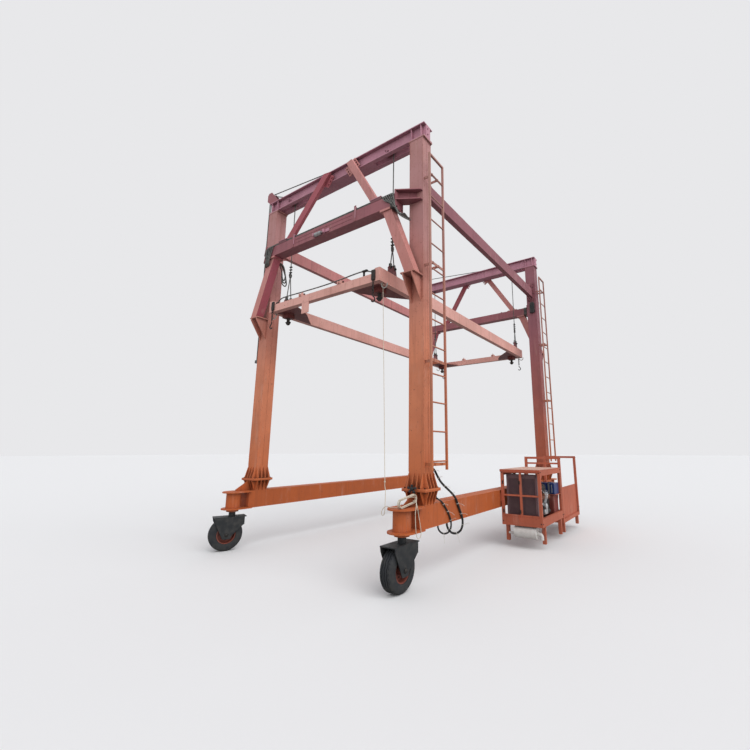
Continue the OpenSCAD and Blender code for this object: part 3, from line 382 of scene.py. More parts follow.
def smooth(points, steps=6):
    """Points of a smooth curve through a few chosen ones."""
    last = len(points) - 1
    made = []
    for i in range(last):
        a, b, c, d = (points[min(max(i + k, 0), last)] for k in (-1, 0, 1, 2))
        for k in range(steps):
            t = k / steps
            bend = (2 * a - 5 * b + 4 * c - d) / 2 + t * (3 * b - a - 3 * c + d) / 2
            made.append(b + t * ((c - a) / 2 + t * bend))
    return made + [points[-1]]


def curve(*points, steps=6):
    """A smooth curve through points given from the crane's middle."""
    return smooth([at(*p) for p in points], steps)


def turns(count):
    """The angles of points evenly round a circle."""
    return [2 * math.pi * k / count for k in range(count)]


def ring(middle, u, v, count):
    """Points round a middle, on an ellipse with the half axes u and v."""
    u, v = Vector(u), Vector(v)
    return [middle + u * math.cos(t) + v * math.sin(t) for t in turns(count)]


class Piece:
    """A mesh put together from simple shapes, in the frame's metres."""

    def __init__(self):
        self.mesh = bmesh.new()

    def box(self, low, high, chamfer=0.0):
        low, high = Vector(low), Vector(high)
        place = Matrix.Translation((low + high) / 2) @ Matrix.Diagonal((*(high - low), 1))
        made = bmesh.ops.create_cube(self.mesh, size=1.0, matrix=place)["verts"]
        if chamfer:
            edges = list({e for v in made for e in v.link_edges})
            bmesh.ops.bevel(self.mesh, geom=edges, offset=chamfer, segments=1, affect="EDGES")
        return self

    def boxes(self, corners, chamfer):
        """Boxes between pairs of corners given from the crane's middle."""
        for low, high in corners:
            self.box(at(*low), at(*high), chamfer)
        return self

    def turned(self, outline, start, direction, sides=24):
        """An outline of (radius, distance) pairs turned about an axis that leaves start."""
        along = Vector(direction).normalized()
        across = along.orthogonal().normalized()
        other = along.cross(across)
        rings = []
        for radius, distance in outline:
            middle = Vector(start) + along * distance
            spots = [middle + (across * math.cos(t) + other * math.sin(t)) * radius for t in turns(sides)]
            rings.append([self.mesh.verts.new(spot) for spot in spots])
        return self.skin(rings)

    def skin(self, rings, capped=True):
        """Faces between rings of as many points each."""
        count = len(rings[0])
        for a, b in zip(rings, rings[1:]):
            for k in range(count):
                self.mesh.faces.new((a[k], a[(k + 1) % count], b[(k + 1) % count], b[k]))
        if capped:
            self.mesh.faces.new(list(reversed(rings[0])))
            self.mesh.faces.new(rings[-1])
        return self

    def rod(self, start, end, radius, sides=16):
        start, end = Vector(start), Vector(end)
        return self.turned([(radius, 0), (radius, (end - start).length)], start, end - start, sides)

    def sweep(self, points, radius, sides=10, strands=0, lay=0.1, closed=False):
        """A tube along points; with strands, their lay turns once in each lay length."""
        points = [Vector(p) for p in points]
        if closed:
            points.append(points[0].copy())
        across = None
        length = 0.0
        rings = []
        for i, point in enumerate(points):
            ahead = points[min(i + 1, len(points) - 1)] - points[max(i - 1, 0)]
            if closed and i in (0, len(points) - 1):
                ahead = points[1] - points[-2]
            ahead.normalize()
            across = ahead.orthogonal() if across is None else across - ahead * across.dot(ahead)
            across.normalize()
            other = ahead.cross(across)
            if i:
                length += (point - points[i - 1]).length
            spots = []
            for turn in turns(sides):
                swell = 1.0
                if strands:
                    swell = 0.86 + 0.14 * abs(math.cos(strands / 2 * (turn - 2 * math.pi * length / lay)))
                spots.append(point + (across * math.cos(turn) + other * math.sin(turn)) * radius * swell)
            rings.append([self.mesh.verts.new(spot) for spot in spots])
        return self.skin(rings)

    def wire(self, points, radius=0.012, lay=0.12):
        """A wire rope of six strands."""
        return self.sweep(points, radius, 12, 6, lay)

    def loop(self, points, radius, sides=8):
        return self.sweep(points, radius, sides, closed=True)

    def plate(self, outline, corner, u, v, thickness):
        """A flat outline of (u, v) pairs, as thick as said along the cross of both directions."""
        corner, u, v = Vector(corner), Vector(u), Vector(v)
        depth = u.cross(v).normalized() * thickness
        front = [self.mesh.verts.new(corner + u * a + v * b) for a, b in outline]
        back = [self.mesh.verts.new(vert.co + depth) for vert in front]
        return self.skin([front, back])

    def bolt(self, spot, direction, size, grip=0.0):
        """Hexagon head and washer on a face, and a nut on the far side of the grip."""
        spot, direction = Vector(spot), Vector(direction).normalized()
        ends = [(spot, direction), (spot - direction * grip, -direction)]
        for start, out in ends if grip else ends[:1]:
            self.turned([(size * 1.05, 0), (size * 1.05, size * 0.16)], start, out, 20)
            head = [(size * 0.86, size * 0.16), (size * 0.86, size * 0.7), (size * 0.7, size * 0.8)]
            self.turned(head, start, out, 6)
            self.turned([(size * 0.48, size * 0.7), (size * 0.48, size * 1.1)], start, out, 12)
        return self

    def moved(self, matrix):
        bmesh.ops.transform(self.mesh, matrix=matrix, verts=self.mesh.verts)
        return self

    def done(self, name, material, body=CRANE, bevel=0.0):
        bmesh.ops.recalc_face_normals(self.mesh, faces=self.mesh.faces)
        mesh = bpy.data.meshes.new(name)
        self.mesh.to_mesh(mesh)
        self.mesh.free()
        mesh.shade_smooth()
        mesh.set_sharp_from_angle(angle=math.radians(40))
        mesh.materials.append(material)
        made = bpy.data.objects.new(name, mesh)
        bpy.context.scene.collection.objects.link(made)
        if bevel:
            rounded(made, bevel)
        if body:
            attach(made, body)
        return made


def rounded(thing, width):
    """Rounds an object's edges."""
    rounding = thing.modifiers.new("rounded_edges", "BEVEL")
    rounding.width = width
    rounding.segments = 2
    rounding.limit_method = "ANGLE"
    return rounding


# Structure details


def foot_bolts(m):
    """Bolts through the flanges under the legs, between their gussets."""
    for corner, (sx, sy) in CORNERS.items():
        piece = Piece()
        for a in (-FLANGE_BOLTS, -0.075, 0.0, 0.075, FLANGE_BOLTS):
            for b in (-FLANGE_BOLTS, FLANGE_BOLTS):
                for dx, dy in ((a, b), (b, a)):
                    spot = at(sx * LEG_X + dx, sy * LEG_Y + dy, FLANGE_TOP)
                    piece.bolt(spot, UP, 0.013, FLANGE_TOP - FLANGE_UNDER)
        piece.done("foot_bolts_" + corner, m["iron"])


def weld_seams(m):
    """Welds where legs, cross beams, braces and plates meet."""
    bead, thin = 0.006, 0.004
    for corner, (sx, sy) in CORNERS.items():
        piece = Piece()
        reach = LEG_HALF + 0.002
        for z in (FLANGE_TOP + 0.002, BEAM_UNDER - 0.022):
            around = ((1, 1), (-1, 1), (-1, -1), (1, -1))
            piece.loop([at(sx * LEG_X + a * reach, sy * LEG_Y + b * reach, z) for a, b in around], bead, 6)
        for z in (LEG_SEAT + 0.002, LEG_SEAT - 0.022):
            piece.sweep([at(sx * LEG_X + a, sy * (LEG_Y + reach), z) for a in (-0.12, 0.12)], bead, 6)
        for a in (-LEG_HALF, LEG_HALF):
            x, y = sx * LEG_X + a, sy * (LEG_Y + LEG_HALF)
            piece.sweep([at(x, y, FLANGE_TOP + 0.22), at(x, y, BEAM_UNDER - 0.03)], thin, 6)
        for z in (SILL_UNDER + 0.002, SILL_TOP - 0.002):
            piece.sweep([at(sx * (SILL_FACE - 0.002), sy * y, z) for y in (0.1, 3.04)], thin, 6)
        ends = (SILL_UNDER + 0.03, SILL_TOP - 0.03)
        piece.sweep([at(sx * SILL_FACE, sy * 3.052, z) for z in ends], bead, 6)
        piece.done("weld_seams_" + corner, m["leg_paint"] if sy < 0 else m["far_paint"])


def beam_eyes(m):
    """Small welded eyes on the top beams' webs, and bolts in the end plates."""
    for sy, side in PORTALS:
        piece = Piece()
        web = sy * (LEG_Y + BEAM_WEB)
        for x, z in ((1.228, 6.807), (-1.401, 6.881)):
            piece.box(at(x - 0.05, web - 0.004 * sy, z - 0.03), at(x + 0.05, web + 0.012 * sy, z + 0.03), 0.004)
            middle = at(x, web + sy * 0.044, z - 0.004)
            piece.loop(ring(middle, (0.028, 0, 0), (0, sy * 0.024, 0), 20), 0.007)
        for sx in (-1, 1):
            for z in (BEAM_UNDER + 0.07, BEAM_TOP - 0.07):
                piece.bolt(at(sx * BEAM_END, sy * (LEG_Y + 0.02), z), (sx, 0, 0), 0.014)
        piece.done("beam_eyes_" + side, m["beam_paint"])


def strut_bolts(m):
    """Bolts through the struts' foot plates."""
    for sy, side in PORTALS:
        piece = Piece()
        for foot in (-1.04, 1.19):
            for dx in (-0.115, 0.115):
                for dy in (-0.075, 0.015):
                    piece.bolt(at(foot + dx, sy * (CROSS_Y + dy), CROSS_TOP + 0.02), UP, 0.012)
        piece.done("strut_bolts_" + side, m["iron"])


def cross_beam_fittings(m):
    """On the near cross beam the short ram, its cleats, rope guides and packers; on both the end plates' bolts."""
    y, z = -CROSS_FACE, CROSS_TOP
    guides = [((x - 0.008, y - 0.012, z - 0.14), (x + 0.008, y - 0.001, z + 0.07)) for x in (-0.765, 0.797)]
    guides += [((x - 0.008, y - 0.012, z + 0.058), (x + 0.008, y + 0.05, z + 0.07)) for x in (-0.765, 0.797)]
    Piece().boxes(guides, 0.002).done("rope_guides", m["beam_paint"])
    spans = ((-1.225, -1.0), (1.12, 1.34))
    packers = [((x0, y - 0.004, z + 0.001), (x1, y + 0.035, z + 0.052)) for x0, x1 in spans]
    Piece().boxes(packers, 0.003).done("strut_packers", m["dark_paint"])
    spans = ((-1.235, -0.985), (1.105, 1.35))
    plates = [((x0, y - 0.008, z + 0.0515), (x1, y + 0.045, z + 0.064)) for x0, x1 in spans]
    Piece().boxes(plates, 0.002).done("strut_packer_plates", m["beam_paint"])
    barrel = [(0.012, 0), (0.03, 0.006), (0.034, 0.02), (0.034, 0.15), (0.03, 0.165), (0.012, 0.17)]
    ram = Piece().turned(barrel, at(-0.16, y - 0.03, 5.49), RIGHT)
    ram.rod(at(0.0, y - 0.03, 5.49), at(0.075, y - 0.03, 5.497), 0.011).done("beam_ram", m["steel"])
    cleats = [((x - 0.016, y, 5.462), (x + 0.016, y - 0.06, 5.525)) for x in (-0.175, 0.075)]
    cleats.append(((0.10, y, 5.47), (0.19, y - 0.022, 5.53)))
    Piece().boxes(cleats, 0.004).done("ram_cleats", m["beam_paint"])
    for sy, side in PORTALS:
        piece = Piece()
        for sx in (-1, 1):
            for dy in (-0.07, 0.07):
                for z in (5.43, 5.70):
                    piece.bolt(at(sx * CROSS_END, sy * (CROSS_Y + dy), z), (sx, 0, 0), 0.013)
        piece.done("end_plate_bolts_" + side, m["iron"])


def rope_tails(m):
    """Loose ends of the ropes wound round the near cross beam's ends."""
    face = -CROSS_FACE - 0.012
    top = CROSS_TOP
    piece = Piece()
    for k in range(6):
        x, low = 1.39 + 0.036 * k, 5.50 - 0.02 * k
        piece.wire(curve(
            (x - 0.02, -3.08, top + 0.012), (x, -3.17, top + 0.014), (x + 0.01, face - 0.004, top),
            (x + 0.04, face - 0.004 * (k % 3), 5.59), (1.55 + 0.02 * k, face - 0.007 * (k % 4), low),
            (1.63 + 0.012 * k, face - 0.01, low - 0.07), (1.668 + 0.008 * k, -3.17, 5.33 - 0.012 * k),
            (1.69 + 0.004 * k, -3.06, 5.29 + 0.01 * k), (1.712 - 0.004 * k, -2.93, 5.30 + 0.008 * k),
            (1.722, -2.84, 5.31 + 0.012 * k),
        ))
    piece.wire(curve(
        (1.60, face - 0.02, 5.52), (1.66, face - 0.03, 5.40), (1.73, face - 0.02, 5.24), (1.80, -3.19, 5.17),
        (1.84, -3.10, 5.16), (1.80, -3.02, 5.22), (1.735, -2.965, 5.27), (1.722, -2.87, 5.28),
    ), 0.010)
    piece.done("rope_tail_near_right", m["rope"])
    piece = Piece()
    for k, drop in enumerate((0.0, 0.05, 0.11)):
        x = -0.02 * k
        piece.wire(curve(
            (x - 1.50, -3.07, 5.43), (x - 1.47, -3.0, 5.415), (x - 1.42, -2.93, 5.37),
            (-1.40, -2.89 + 0.01 * k, 5.26 - drop), (-1.40, -2.87 + 0.02 * k, 5.12 - drop),
            (-1.43, -2.875 + 0.02 * k, 5.06 - drop), (-1.46, -2.89, 5.12 - drop), (-1.47, -2.91, 5.26),
            (-1.49, -2.965, 5.40),
        ))
    piece.done("rope_tail_near_left", m["rope"])
    piece = Piece()
    for k in range(4):
        x, low = -1.37 - 0.055 * k, -1.455 - 0.034 * k
        piece.wire(curve(
            (x + 0.02, -3.07, top + 0.012), (x + 0.01, -3.17, top + 0.013), (x, face - 0.006, top - 0.005),
            (x - 0.025, face - 0.010, 5.58), ((x + low) / 2 - 0.01, face - 0.010 - 0.004 * (k % 2), 5.50),
            (low, face - 0.012, 5.40), (low - 0.02, face - 0.012, 5.33 - 0.012 * k),
            (low - 0.05, face + 0.02, 5.285 - 0.006 * k), (-1.575 - 0.01 * k, -3.15, 5.31),
            (-1.59 - 0.008 * k, -3.12, 5.37), (-1.59, -3.10 + 0.008 * k, 5.425),
        ))
    piece.done("rope_wrap_near_left", m["rope"])


def hoist_rope_run(m):
    """Ropes from the top beams' sheaves down to the slings."""
    piece = Piece()
    rise, steps = ROPE_TOP - SLING_TOP, 220
    for sx, sy in CORNERS.values():
        heights = (SLING_TOP + rise * k / steps for k in range(steps + 1))
        piece.wire([at(sx * ROPE_X, sy * LEG_Y, z) for z in heights], ROPE_R, 0.09)
    ropes = piece.done("hoist_rope_runs", m["rope"], body=None)
    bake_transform(ropes)
    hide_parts("hoist_ropes")


def rope_clips(m):
    """Clips above the slings' knots, and thimbles in them."""
    piece = Piece()
    for sx, sy in CORNERS.values():
        knot = at(sx * ROPE_X, sy * LEG_Y, 5.15 if sx < 0 else 4.96)
        for dz in (0.07, 0.13, 0.19):
            spot = knot + Vector((0, 0, dz))
            piece.box(spot - Vector((0.03, 0.016, 0.009)), spot + Vector((0.03, 0.02, 0.009)), 0.003)
            for dx in (-0.02, 0.02):
                piece.bolt(spot + Vector((dx, -0.016, 0)), FRONT, 0.008)
        piece.loop(ring(knot + Vector((0, 0, 0.005)), (0, 0.03, 0), (0, 0, 0.045), 24), 0.008)
    piece.done("rope_clips", m["iron"], LIFTING)


def shackle_pins(m):
    """Heads on the shackles' pins."""
    piece = Piece()
    head = [(0.02, 0), (0.02, 0.008), (0.014, 0.012)]
    for sx, sy in CORNERS.values():
        for dy in (-0.055, 0.055):
            for way in (-1, 1):
                start = at(sx * ROPE_X + way * 0.03, sy * LEG_Y + dy, FRAME_TOP + 0.13)
                piece.turned(head, start, (way, 0, 0), 6)
    piece.done("shackle_pins", m["iron"], LIFTING)


def frame_cable(m):
    """Cable above the lifting frame's near end beam, with its clamps and pins."""
    y, top, corner = END_BEAM_Y, END_BEAM_TOP, FRAME_TOP + 0.012
    heights = ((-1.20, 0.03), (-1.10, 0.10), (-0.95, 0.115), (-0.55, 0.105), (-0.03, 0.095), (0.40, 0.10),
               (0.70, 0.115), (0.92, 0.12), (1.05, 0.10), (1.19, 0.055))
    run = [(x, y, top + z) for x, z in heights] + [(1.27, y, corner), (1.31, y + 0.05, corner)]
    Piece().wire(curve(*run), 0.011, 0.1).done("frame_cable", m["rope"], LIFTING)
    piece = Piece()
    piece.box(at(0.95, y - 0.022, top + 0.10), at(1.06, y + 0.022, top + 0.128), 0.005)
    piece.box(at(0.97, y - 0.012, top - 0.002), at(1.0, y + 0.012, top + 0.105), 0.003)
    piece.box(at(-1.22, y - 0.02, top - 0.002), at(-1.16, y + 0.02, top + 0.05), 0.005)
    piece.done("cable_clamps", m["iron"], LIFTING)
    piece = Piece()
    for x in (-0.48, 0.48):
        left, right = (at(x + dx, y, top + 0.05) for dx in (-0.05, 0.05))
        piece.rod(left, right, 0.010).bolt(right, RIGHT, 0.012).bolt(left, (-1, 0, 0), 0.012)
    piece.done("clamp_pins", m["iron"], LIFTING)


def corner_gear(m):
    """Chains, hooks and levers that hang in the lifting frame's corners."""
    for corner, (sx, sy) in CORNERS.items():
        x, y = sx * 1.235, sy * 3.215
        piece = Piece()
        low, high = FRAME_UNDER + 0.02, END_BEAM_TOP + 0.05
        piece.box(at(x - 0.035, y - 0.012, low), at(x + 0.035, y + 0.012, high), 0.004)
        for k in range(5):
            middle, wide = at(x, y, FRAME_UNDER - 0.042 * k), 0.014
            piece.loop(ring(middle, (0, wide, 0) if k % 2 else (wide, 0, 0), (0, 0, 0.026), 16), 0.006)
        hook = ((0, 0.03), (0, 0), (0.03, -0.03), (0.04, -0.07), (0.01, -0.10), (-0.025, -0.08))
        piece.sweep(curve(*((x + dx * sx, y, FRAME_UNDER - 0.24 + dz) for dx, dz in hook)), 0.010)
        piece.done("corner_hook_" + corner, m["iron"], LIFTING)
        x, y = sx * 1.30, sy * 3.08
        lever = ((0, -0.004), (0, -0.05), (0.05, -0.09), (0.10, -0.07), (0.11, -0.02))
        piece = Piece().sweep(curve(*((x + dx * sx, y, FRAME_UNDER + dz) for dx, dz in lever)), 0.009)
        piece.turned([(0.022, 0), (0.022, 0.012)], at(x, y, FRAME_UNDER), (0, 0, -1), 20)
        piece.done("lock_handle_" + corner, m["galvanised"], LIFTING)


# Wheels


def wheel_frame(sx, sy):
    """Matrix of a wheel's own frame: its axle along X, its swivel pin at the origin, its trail along Y."""
    turn = math.radians(-REST_TURN) if (sx, sy) == (-1, -1) else 0.0
    place = Matrix.Translation(at(sx * LEG_X, sy * HEAD_Y, 0)) @ Matrix.Diagonal((sx, sy, 1, 1))
    return place @ Matrix.Rotation(turn, 4, "Z") @ Matrix.Translation((0, WHEEL_TRAIL, TYRE_R))


def tread_radius(across, turn):
    """Radius of the tyre's crown: ribs with zigzag grooves, and open blocks at the shoulders."""
    zigzag = 0.005 * (abs((turn * 18 / math.pi) % 2 - 1) * 2 - 1)
    groove = 0.0
    for middle in (-0.036, 0.0, 0.036):
        if abs(across - middle - zigzag) < 0.005:
            groove = 0.011
    if abs(across) > 0.056 and (turn * 30 / math.pi) % 2 < 0.55:
        groove = 0.009
    return TYRE_R - 0.0025 * (across / 0.06) ** 2 - groove


def tyres(m):
    """Treaded tyres in place of the plain ones."""
    crown = [-0.060 + 0.0025 * k for k in range(49)]
    wall = [(0.153, 0.076), (0.156, 0.086), (0.164, 0.0895), (0.182, 0.0885), (0.186, 0.0895), (0.200, 0.0900),
            (0.222, 0.0895), (0.226, 0.0880), (0.240, 0.0855), (0.252, 0.081), (0.262, 0.070), (0.2665, 0.064)]
    for corner, (sx, sy) in CORNERS.items():
        piece = Piece()
        rings = []
        for turn in turns(360):
            section = [(r, -w) for r, w in wall] + [(tread_radius(w, turn), w) for w in crown]
            section += wall[::-1] + [(0.151, 0.05), (0.151, -0.05)]
            rings.append([piece.mesh.verts.new((w, r * math.cos(turn), r * math.sin(turn))) for r, w in section])
        piece.skin(rings + [rings[0]], capped=False).moved(wheel_frame(sx, sy))
        tyre = piece.done("treaded_tyre_" + corner, m["rubber"], "wheel_" + corner)
        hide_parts("tyre_" + corner)


def wheel_nuts(m):
    """Nuts and valves on the discs, and nuts on the axles' ends."""
    for corner, (sx, sy) in CORNERS.items():
        piece = Piece()
        for side in (-1, 1):
            for spot in ring(Vector((side * 0.014, 0, 0)), (0, 0.088, 0), (0, 0, 0.088), 8):
                piece.bolt(spot, (side, 0, 0), 0.009)
        valve = [Vector((0.02, 0, 0.118)), Vector((0.035, 0, 0.123)), Vector((0.052, 0, 0.121))]
        piece.sweep(smooth(valve), 0.004, 8).moved(wheel_frame(sx, sy))
        piece.done("wheel_nuts_" + corner, m["iron"], "wheel_" + corner)
        piece = Piece()
        for side in (-1, 1):
            nut = [(0.034, -0.012), (0.034, -0.006), (0.03, 0.0), (0.012, 0.012)]
            piece.turned(nut, (side * 0.131, 0, 0), (side, 0, 0), 6)
        piece.moved(wheel_frame(sx, sy)).done("axle_nuts_" + corner, m["iron"], "fork_" + corner)


# Power pack


def radiator_mesh(m):
    """Fins and tubes of both radiator cores, seen through the front bars, and the cap and bolts."""
    y = PACK_LOW[1] + 0.095
    low, high = 0.46, 1.19
    tubes, fins = 12, 72
    piece = Piece()
    for x0, x1 in ((2.125, 2.34), (2.39, 2.605)):
        for k in range(tubes):
            x = x0 + (x1 - x0) * (k + 0.5) / tubes
            piece.box(at(x - 0.003, y - 0.002, low), at(x + 0.003, y + 0.019, high))
        for k in range(fins):
            z = low + (high - low) * (k + 0.5) / fins
            piece.box(at(x0, y + 0.003, z - 0.0015), at(x1, y + 0.018, z + 0.0015))
    piece.done("radiator_mesh", m["mauve"])
    cap = [(0.03, 0), (0.03, 0.012), (0.024, 0.018), (0.024, 0.03)]
    piece = Piece().turned(cap, at(2.22, y + 0.055, 1.26), UP, 20)
    for z in (0.425, 1.225):
        for x in (2.10, 2.365, 2.63):
            piece.bolt(at(x, y, z), FRONT, 0.009)
    piece.done("radiator_cap", m["iron"])


def engine_dressing(m):
    """Manifold, pipes, pump, belt, filters and lines on the engine."""

    def on(x, y, z):
        """A point given from the middle of the engine's front, at its foot."""
        return at(x + 2.435, y - 0.02, z + 0.39)

    def pipe(piece, radius, *points, sides=16):
        piece.sweep(smooth([on(*p) for p in points]), radius, sides)

    ports = [0.075 + 0.12 * k for k in range(4)]
    cast = Piece()
    for y in ports:
        bend = ((0.10, y, 0.47), (0.15, y, 0.475), (0.18, y + 0.02, 0.46), (0.19, y + 0.05, 0.44))
        pipe(cast, 0.022, *bend, sides=14)
    pipe(cast, 0.034, (0.19, 0.04, 0.44), (0.195, 0.3, 0.44), (0.19, 0.52, 0.43))
    cast.done("exhaust_manifold", m["rusty"])
    bright = Piece()
    bright.box(on(0.17, 0.10, 0.15), on(0.235, 0.28, 0.26), 0.008)
    for k, port in enumerate(ports):
        y = 0.13 + 0.04 * k
        bright.turned([(0.016, 0), (0.016, 0.02), (0.011, 0.024), (0.011, 0.045)], on(0.205, y, 0.26), UP, 12)
        pipe(bright, 0.0045, (0.205, y, 0.30), (0.215, y, 0.36), (0.24, y + 0.02 * k, 0.50),
             (0.16, y + 0.05 * k, 0.585), (0.06, port, 0.54), sides=8)
    pulley = [(0.05, 0), (0.055, 0.01), (0.055, 0.03), (0.048, 0.036), (0.048, 0.07), (0.055, 0.076),
              (0.055, 0.095), (0.03, 0.11)]
    bright.turned(pulley, on(0.17, 0.11, 0.30), RIGHT, 28)
    canister = [(0.04, 0), (0.044, 0.02), (0.044, 0.10), (0.03, 0.12), (0.012, 0.125)]
    bright.turned(canister, on(0.16, 0.02, 0.36), (0.2, -0.1, 1))
    bright.box(on(-0.10, 0.03, 0.575), on(0.05, 0.57, 0.612), 0.012)
    for k in range(3):
        bright.bolt(on(-0.02, 0.10 + 0.2 * k, 0.612), UP, 0.012)
    bright.done("engine_bright_parts", m["silver"])
    dark = Piece()
    pipe(dark, 0.026, (-0.04, -0.135, 0.80), (-0.02, -0.07, 0.79), (0, -0.005, 0.70), (0.005, 0.04, 0.60))
    pipe(dark, 0.024, (0.12, -0.13, 0.09), (0.14, -0.08, 0.12), (0.145, -0.03, 0.18), (0.12, 0.01, 0.22))
    belt = []
    arcs = ((0.205, 0.30, 0.045, math.pi / 2, math.pi, 10), (0, 0.12, 0.055, -math.pi / 3, 2 * math.pi / 3, 8),
            (0, 0.30, 0.045, math.pi, math.pi / 2, 6))
    for x, z, r, start, angle, steps in arcs:
        for t in (start - angle * k / steps for k in range(steps + 1)):
            belt.append(on(x + r * math.cos(t), -0.035, z + r * math.sin(t)))
    dark.loop(belt, 0.007)
    for r, x, z in ((0.052, 0, 0.12), (0.042, 0.205, 0.30)):
        dark.turned([(0.012, 0), (r, 0), (r, 0.018), (0.012, 0.018)], on(x, -0.026, z), FRONT, 28)
    blade = [(0.04, -0.02), (0.145, -0.032), (0.145, 0.032), (0.04, 0.02)]
    for turn in turns(6):
        u = Vector((math.cos(turn), 0, math.sin(turn)))
        v = Vector((-math.sin(turn), 0.45, math.cos(turn))).normalized()
        dark.plate(blade, on(0, -0.072, 0.30), u, v, 0.004)
    dark.done("engine_dark_parts", m["hose"])
    body = [(0.05, 0), (0.05, 0.02), (0.038, 0.025), (0.038, 0.11), (0.045, 0.115), (0.045, 0.135), (0.02, 0.14)]
    pump = Piece().turned(body, on(-0.02, 0.60, 0.25), (0, 1, 0), 28)
    pump.box(on(-0.08, 0.598, 0.19), on(0.04, 0.612, 0.31), 0.004).done("oil_pump", m["iron"])


def tank_details(m):
    """Straps and gauge of the fuel tank."""
    piece = Piece()
    y0, y1, z0, z1 = 0.632, 0.928, 0.85, 1.063
    wide, thick = 0.017, 0.0015
    path = ((y0 - 0.003, z0), (y0 - 0.003, z1 - 0.01), (y0 + 0.012, z1 + 0.002), (y1 - 0.012, z1 + 0.002),
            (y1 + 0.003, z1 - 0.012), (y1 + 0.003, z0))
    for x in (2.22, 2.60):
        for (ya, za), (yb, zb) in zip(path, path[1:]):
            low = at(x - wide, min(ya, yb) - thick, min(za, zb) - thick)
            piece.box(low, at(x + wide, max(ya, yb) + thick, max(za, zb) + thick))
    piece.rod(at(2.66, y0 - 0.014, z0 + 0.03), at(2.66, y0 - 0.014, z1 - 0.03), 0.006)
    piece.done("tank_straps", m["steel"])


def pack_fasteners(m):
    """Bolts and hinges of the power pack's frame and the deck's."""
    piece = Piece()
    x0, y0, _ = PACK_LOW
    x1, y1, _ = PACK_HIGH
    inset, low = 0.025, 0.44
    for x in (x0 + inset, x1 - inset):
        for z in (low, 1.30):
            piece.bolt(at(x, y0, z), FRONT, 0.010)
    for y, high in ((y0 + inset, 1.31), (y1 - inset, 1.31), (y1 + 0.045, 1.53), (DECK_BACK - inset, 1.53)):
        for z in (low, high):
            piece.bolt(at(x1, y, z), RIGHT, 0.010)
    for z in (0.62, 1.12):
        for x, y in ((x0 + 0.045, y0 - 0.012), (2.36, y0 - 0.002)):
            piece.turned([(0.012, -0.03), (0.012, 0.03)], at(x, y, z), UP, 12)
    piece.done("pack_fasteners", m["iron"])


def muffler_bands(m):
    """Bands, end seams and outlet of the muffler."""
    x0, x1, y, z = 2.215, 2.615, -0.26, 0.268
    seam = [(0.095, 0), (0.1025, 0), (0.1045, 0.004), (0.1025, 0.008), (0.095, 0.008)]
    band = [(0.099, 0), (0.1035, 0), (0.1035, 0.03), (0.099, 0.03)]
    outlet = [(0.026, 0), (0.033, 0), (0.033, 0.014), (0.026, 0.014)]
    piece = Piece()
    places = ((seam, x0 + 0.004), (seam, x1 - 0.012), (band, x0 + 0.05), (band, x1 - 0.09))
    for outline, x in places:
        piece.turned(outline, at(x, y, z), RIGHT, 48)
    piece.turned(outlet, at(x1 + 0.004, y, z), RIGHT, 32)
    piece.done("muffler_bands", m["white_metal"])


def leg_fittings(m):
    """Star knob at the near right leg's foot, and the hood on the far one."""
    middle = at(1.865, -3.046, 1.192)
    core = [(0.012, -0.03), (0.012, 0.0), (0.026, 0.002), (0.026, 0.024), (0.016, 0.03)]
    tip_outline = [(0.006, -0.012), (0.017, -0.007), (0.019, 0), (0.017, 0.007), (0.006, 0.012)]
    piece = Piece().turned(core, middle, FRONT)
    for k in range(5):
        turn = 2 * math.pi * k / 5 + 0.3
        root = middle + Vector((0, -0.013, 0))
        tip = root + Vector((math.cos(turn), 0, 0.7 * math.sin(turn))) * 0.058
        piece.rod(root, tip, 0.009, 12).turned(tip_outline, tip, FRONT, 16)
    piece.done("leg_star_knob", m["black_steel"])
    outline = [(-0.06, 0), (0.06, 0), (0.06, 0.26), (0.04, 0.30), (-0.04, 0.30), (-0.06, 0.26)]
    hood = Piece().plate(outline, at(LEG_X + 0.02, LEG_Y - LEG_HALF, 5.35), RIGHT, UP, 0.05)
    hood.done("leg_hood", m["black_steel"], bevel=0.008)


def ladder_bolts(m):
    """Bolts of the ladders' brackets on the legs."""
    piece = Piece()
    for sy in (-1, 1):
        for z in LADDER_BRACKETS:
            for dy in (-0.10, 0.10):
                piece.bolt(at(2.13, sy * 2.80 + dy, z), RIGHT, 0.009)
    piece.done("ladder_bolts", m["iron"])


def tie_beam_fittings(m):
    """Bolts of the tie beams' end plates and the dark cable along the right one."""
    for sx, side in ((-1, "left"), (1, "right")):
        piece = Piece()
        for sy in (-1, 1):
            for dx in (-0.07, 0.07):
                for z in (5.73, 5.90, 6.08, 6.16):
                    piece.bolt(at(sx * LEG_X + dx, sy * TIE_END, z), (0, -sy, 0), 0.011)
        piece.done("tie_bolts_" + side, m["iron"])
    run = [(LEG_X + 0.03, k / 10, TIE_TOP + max(0.011 + 0.002 * math.sin(k * 1.7), 0.0105)) for k in range(-24, 25)]
    Piece().sweep([at(*p) for p in run], 0.010).done("tie_cable", m["hose"])


# Cords


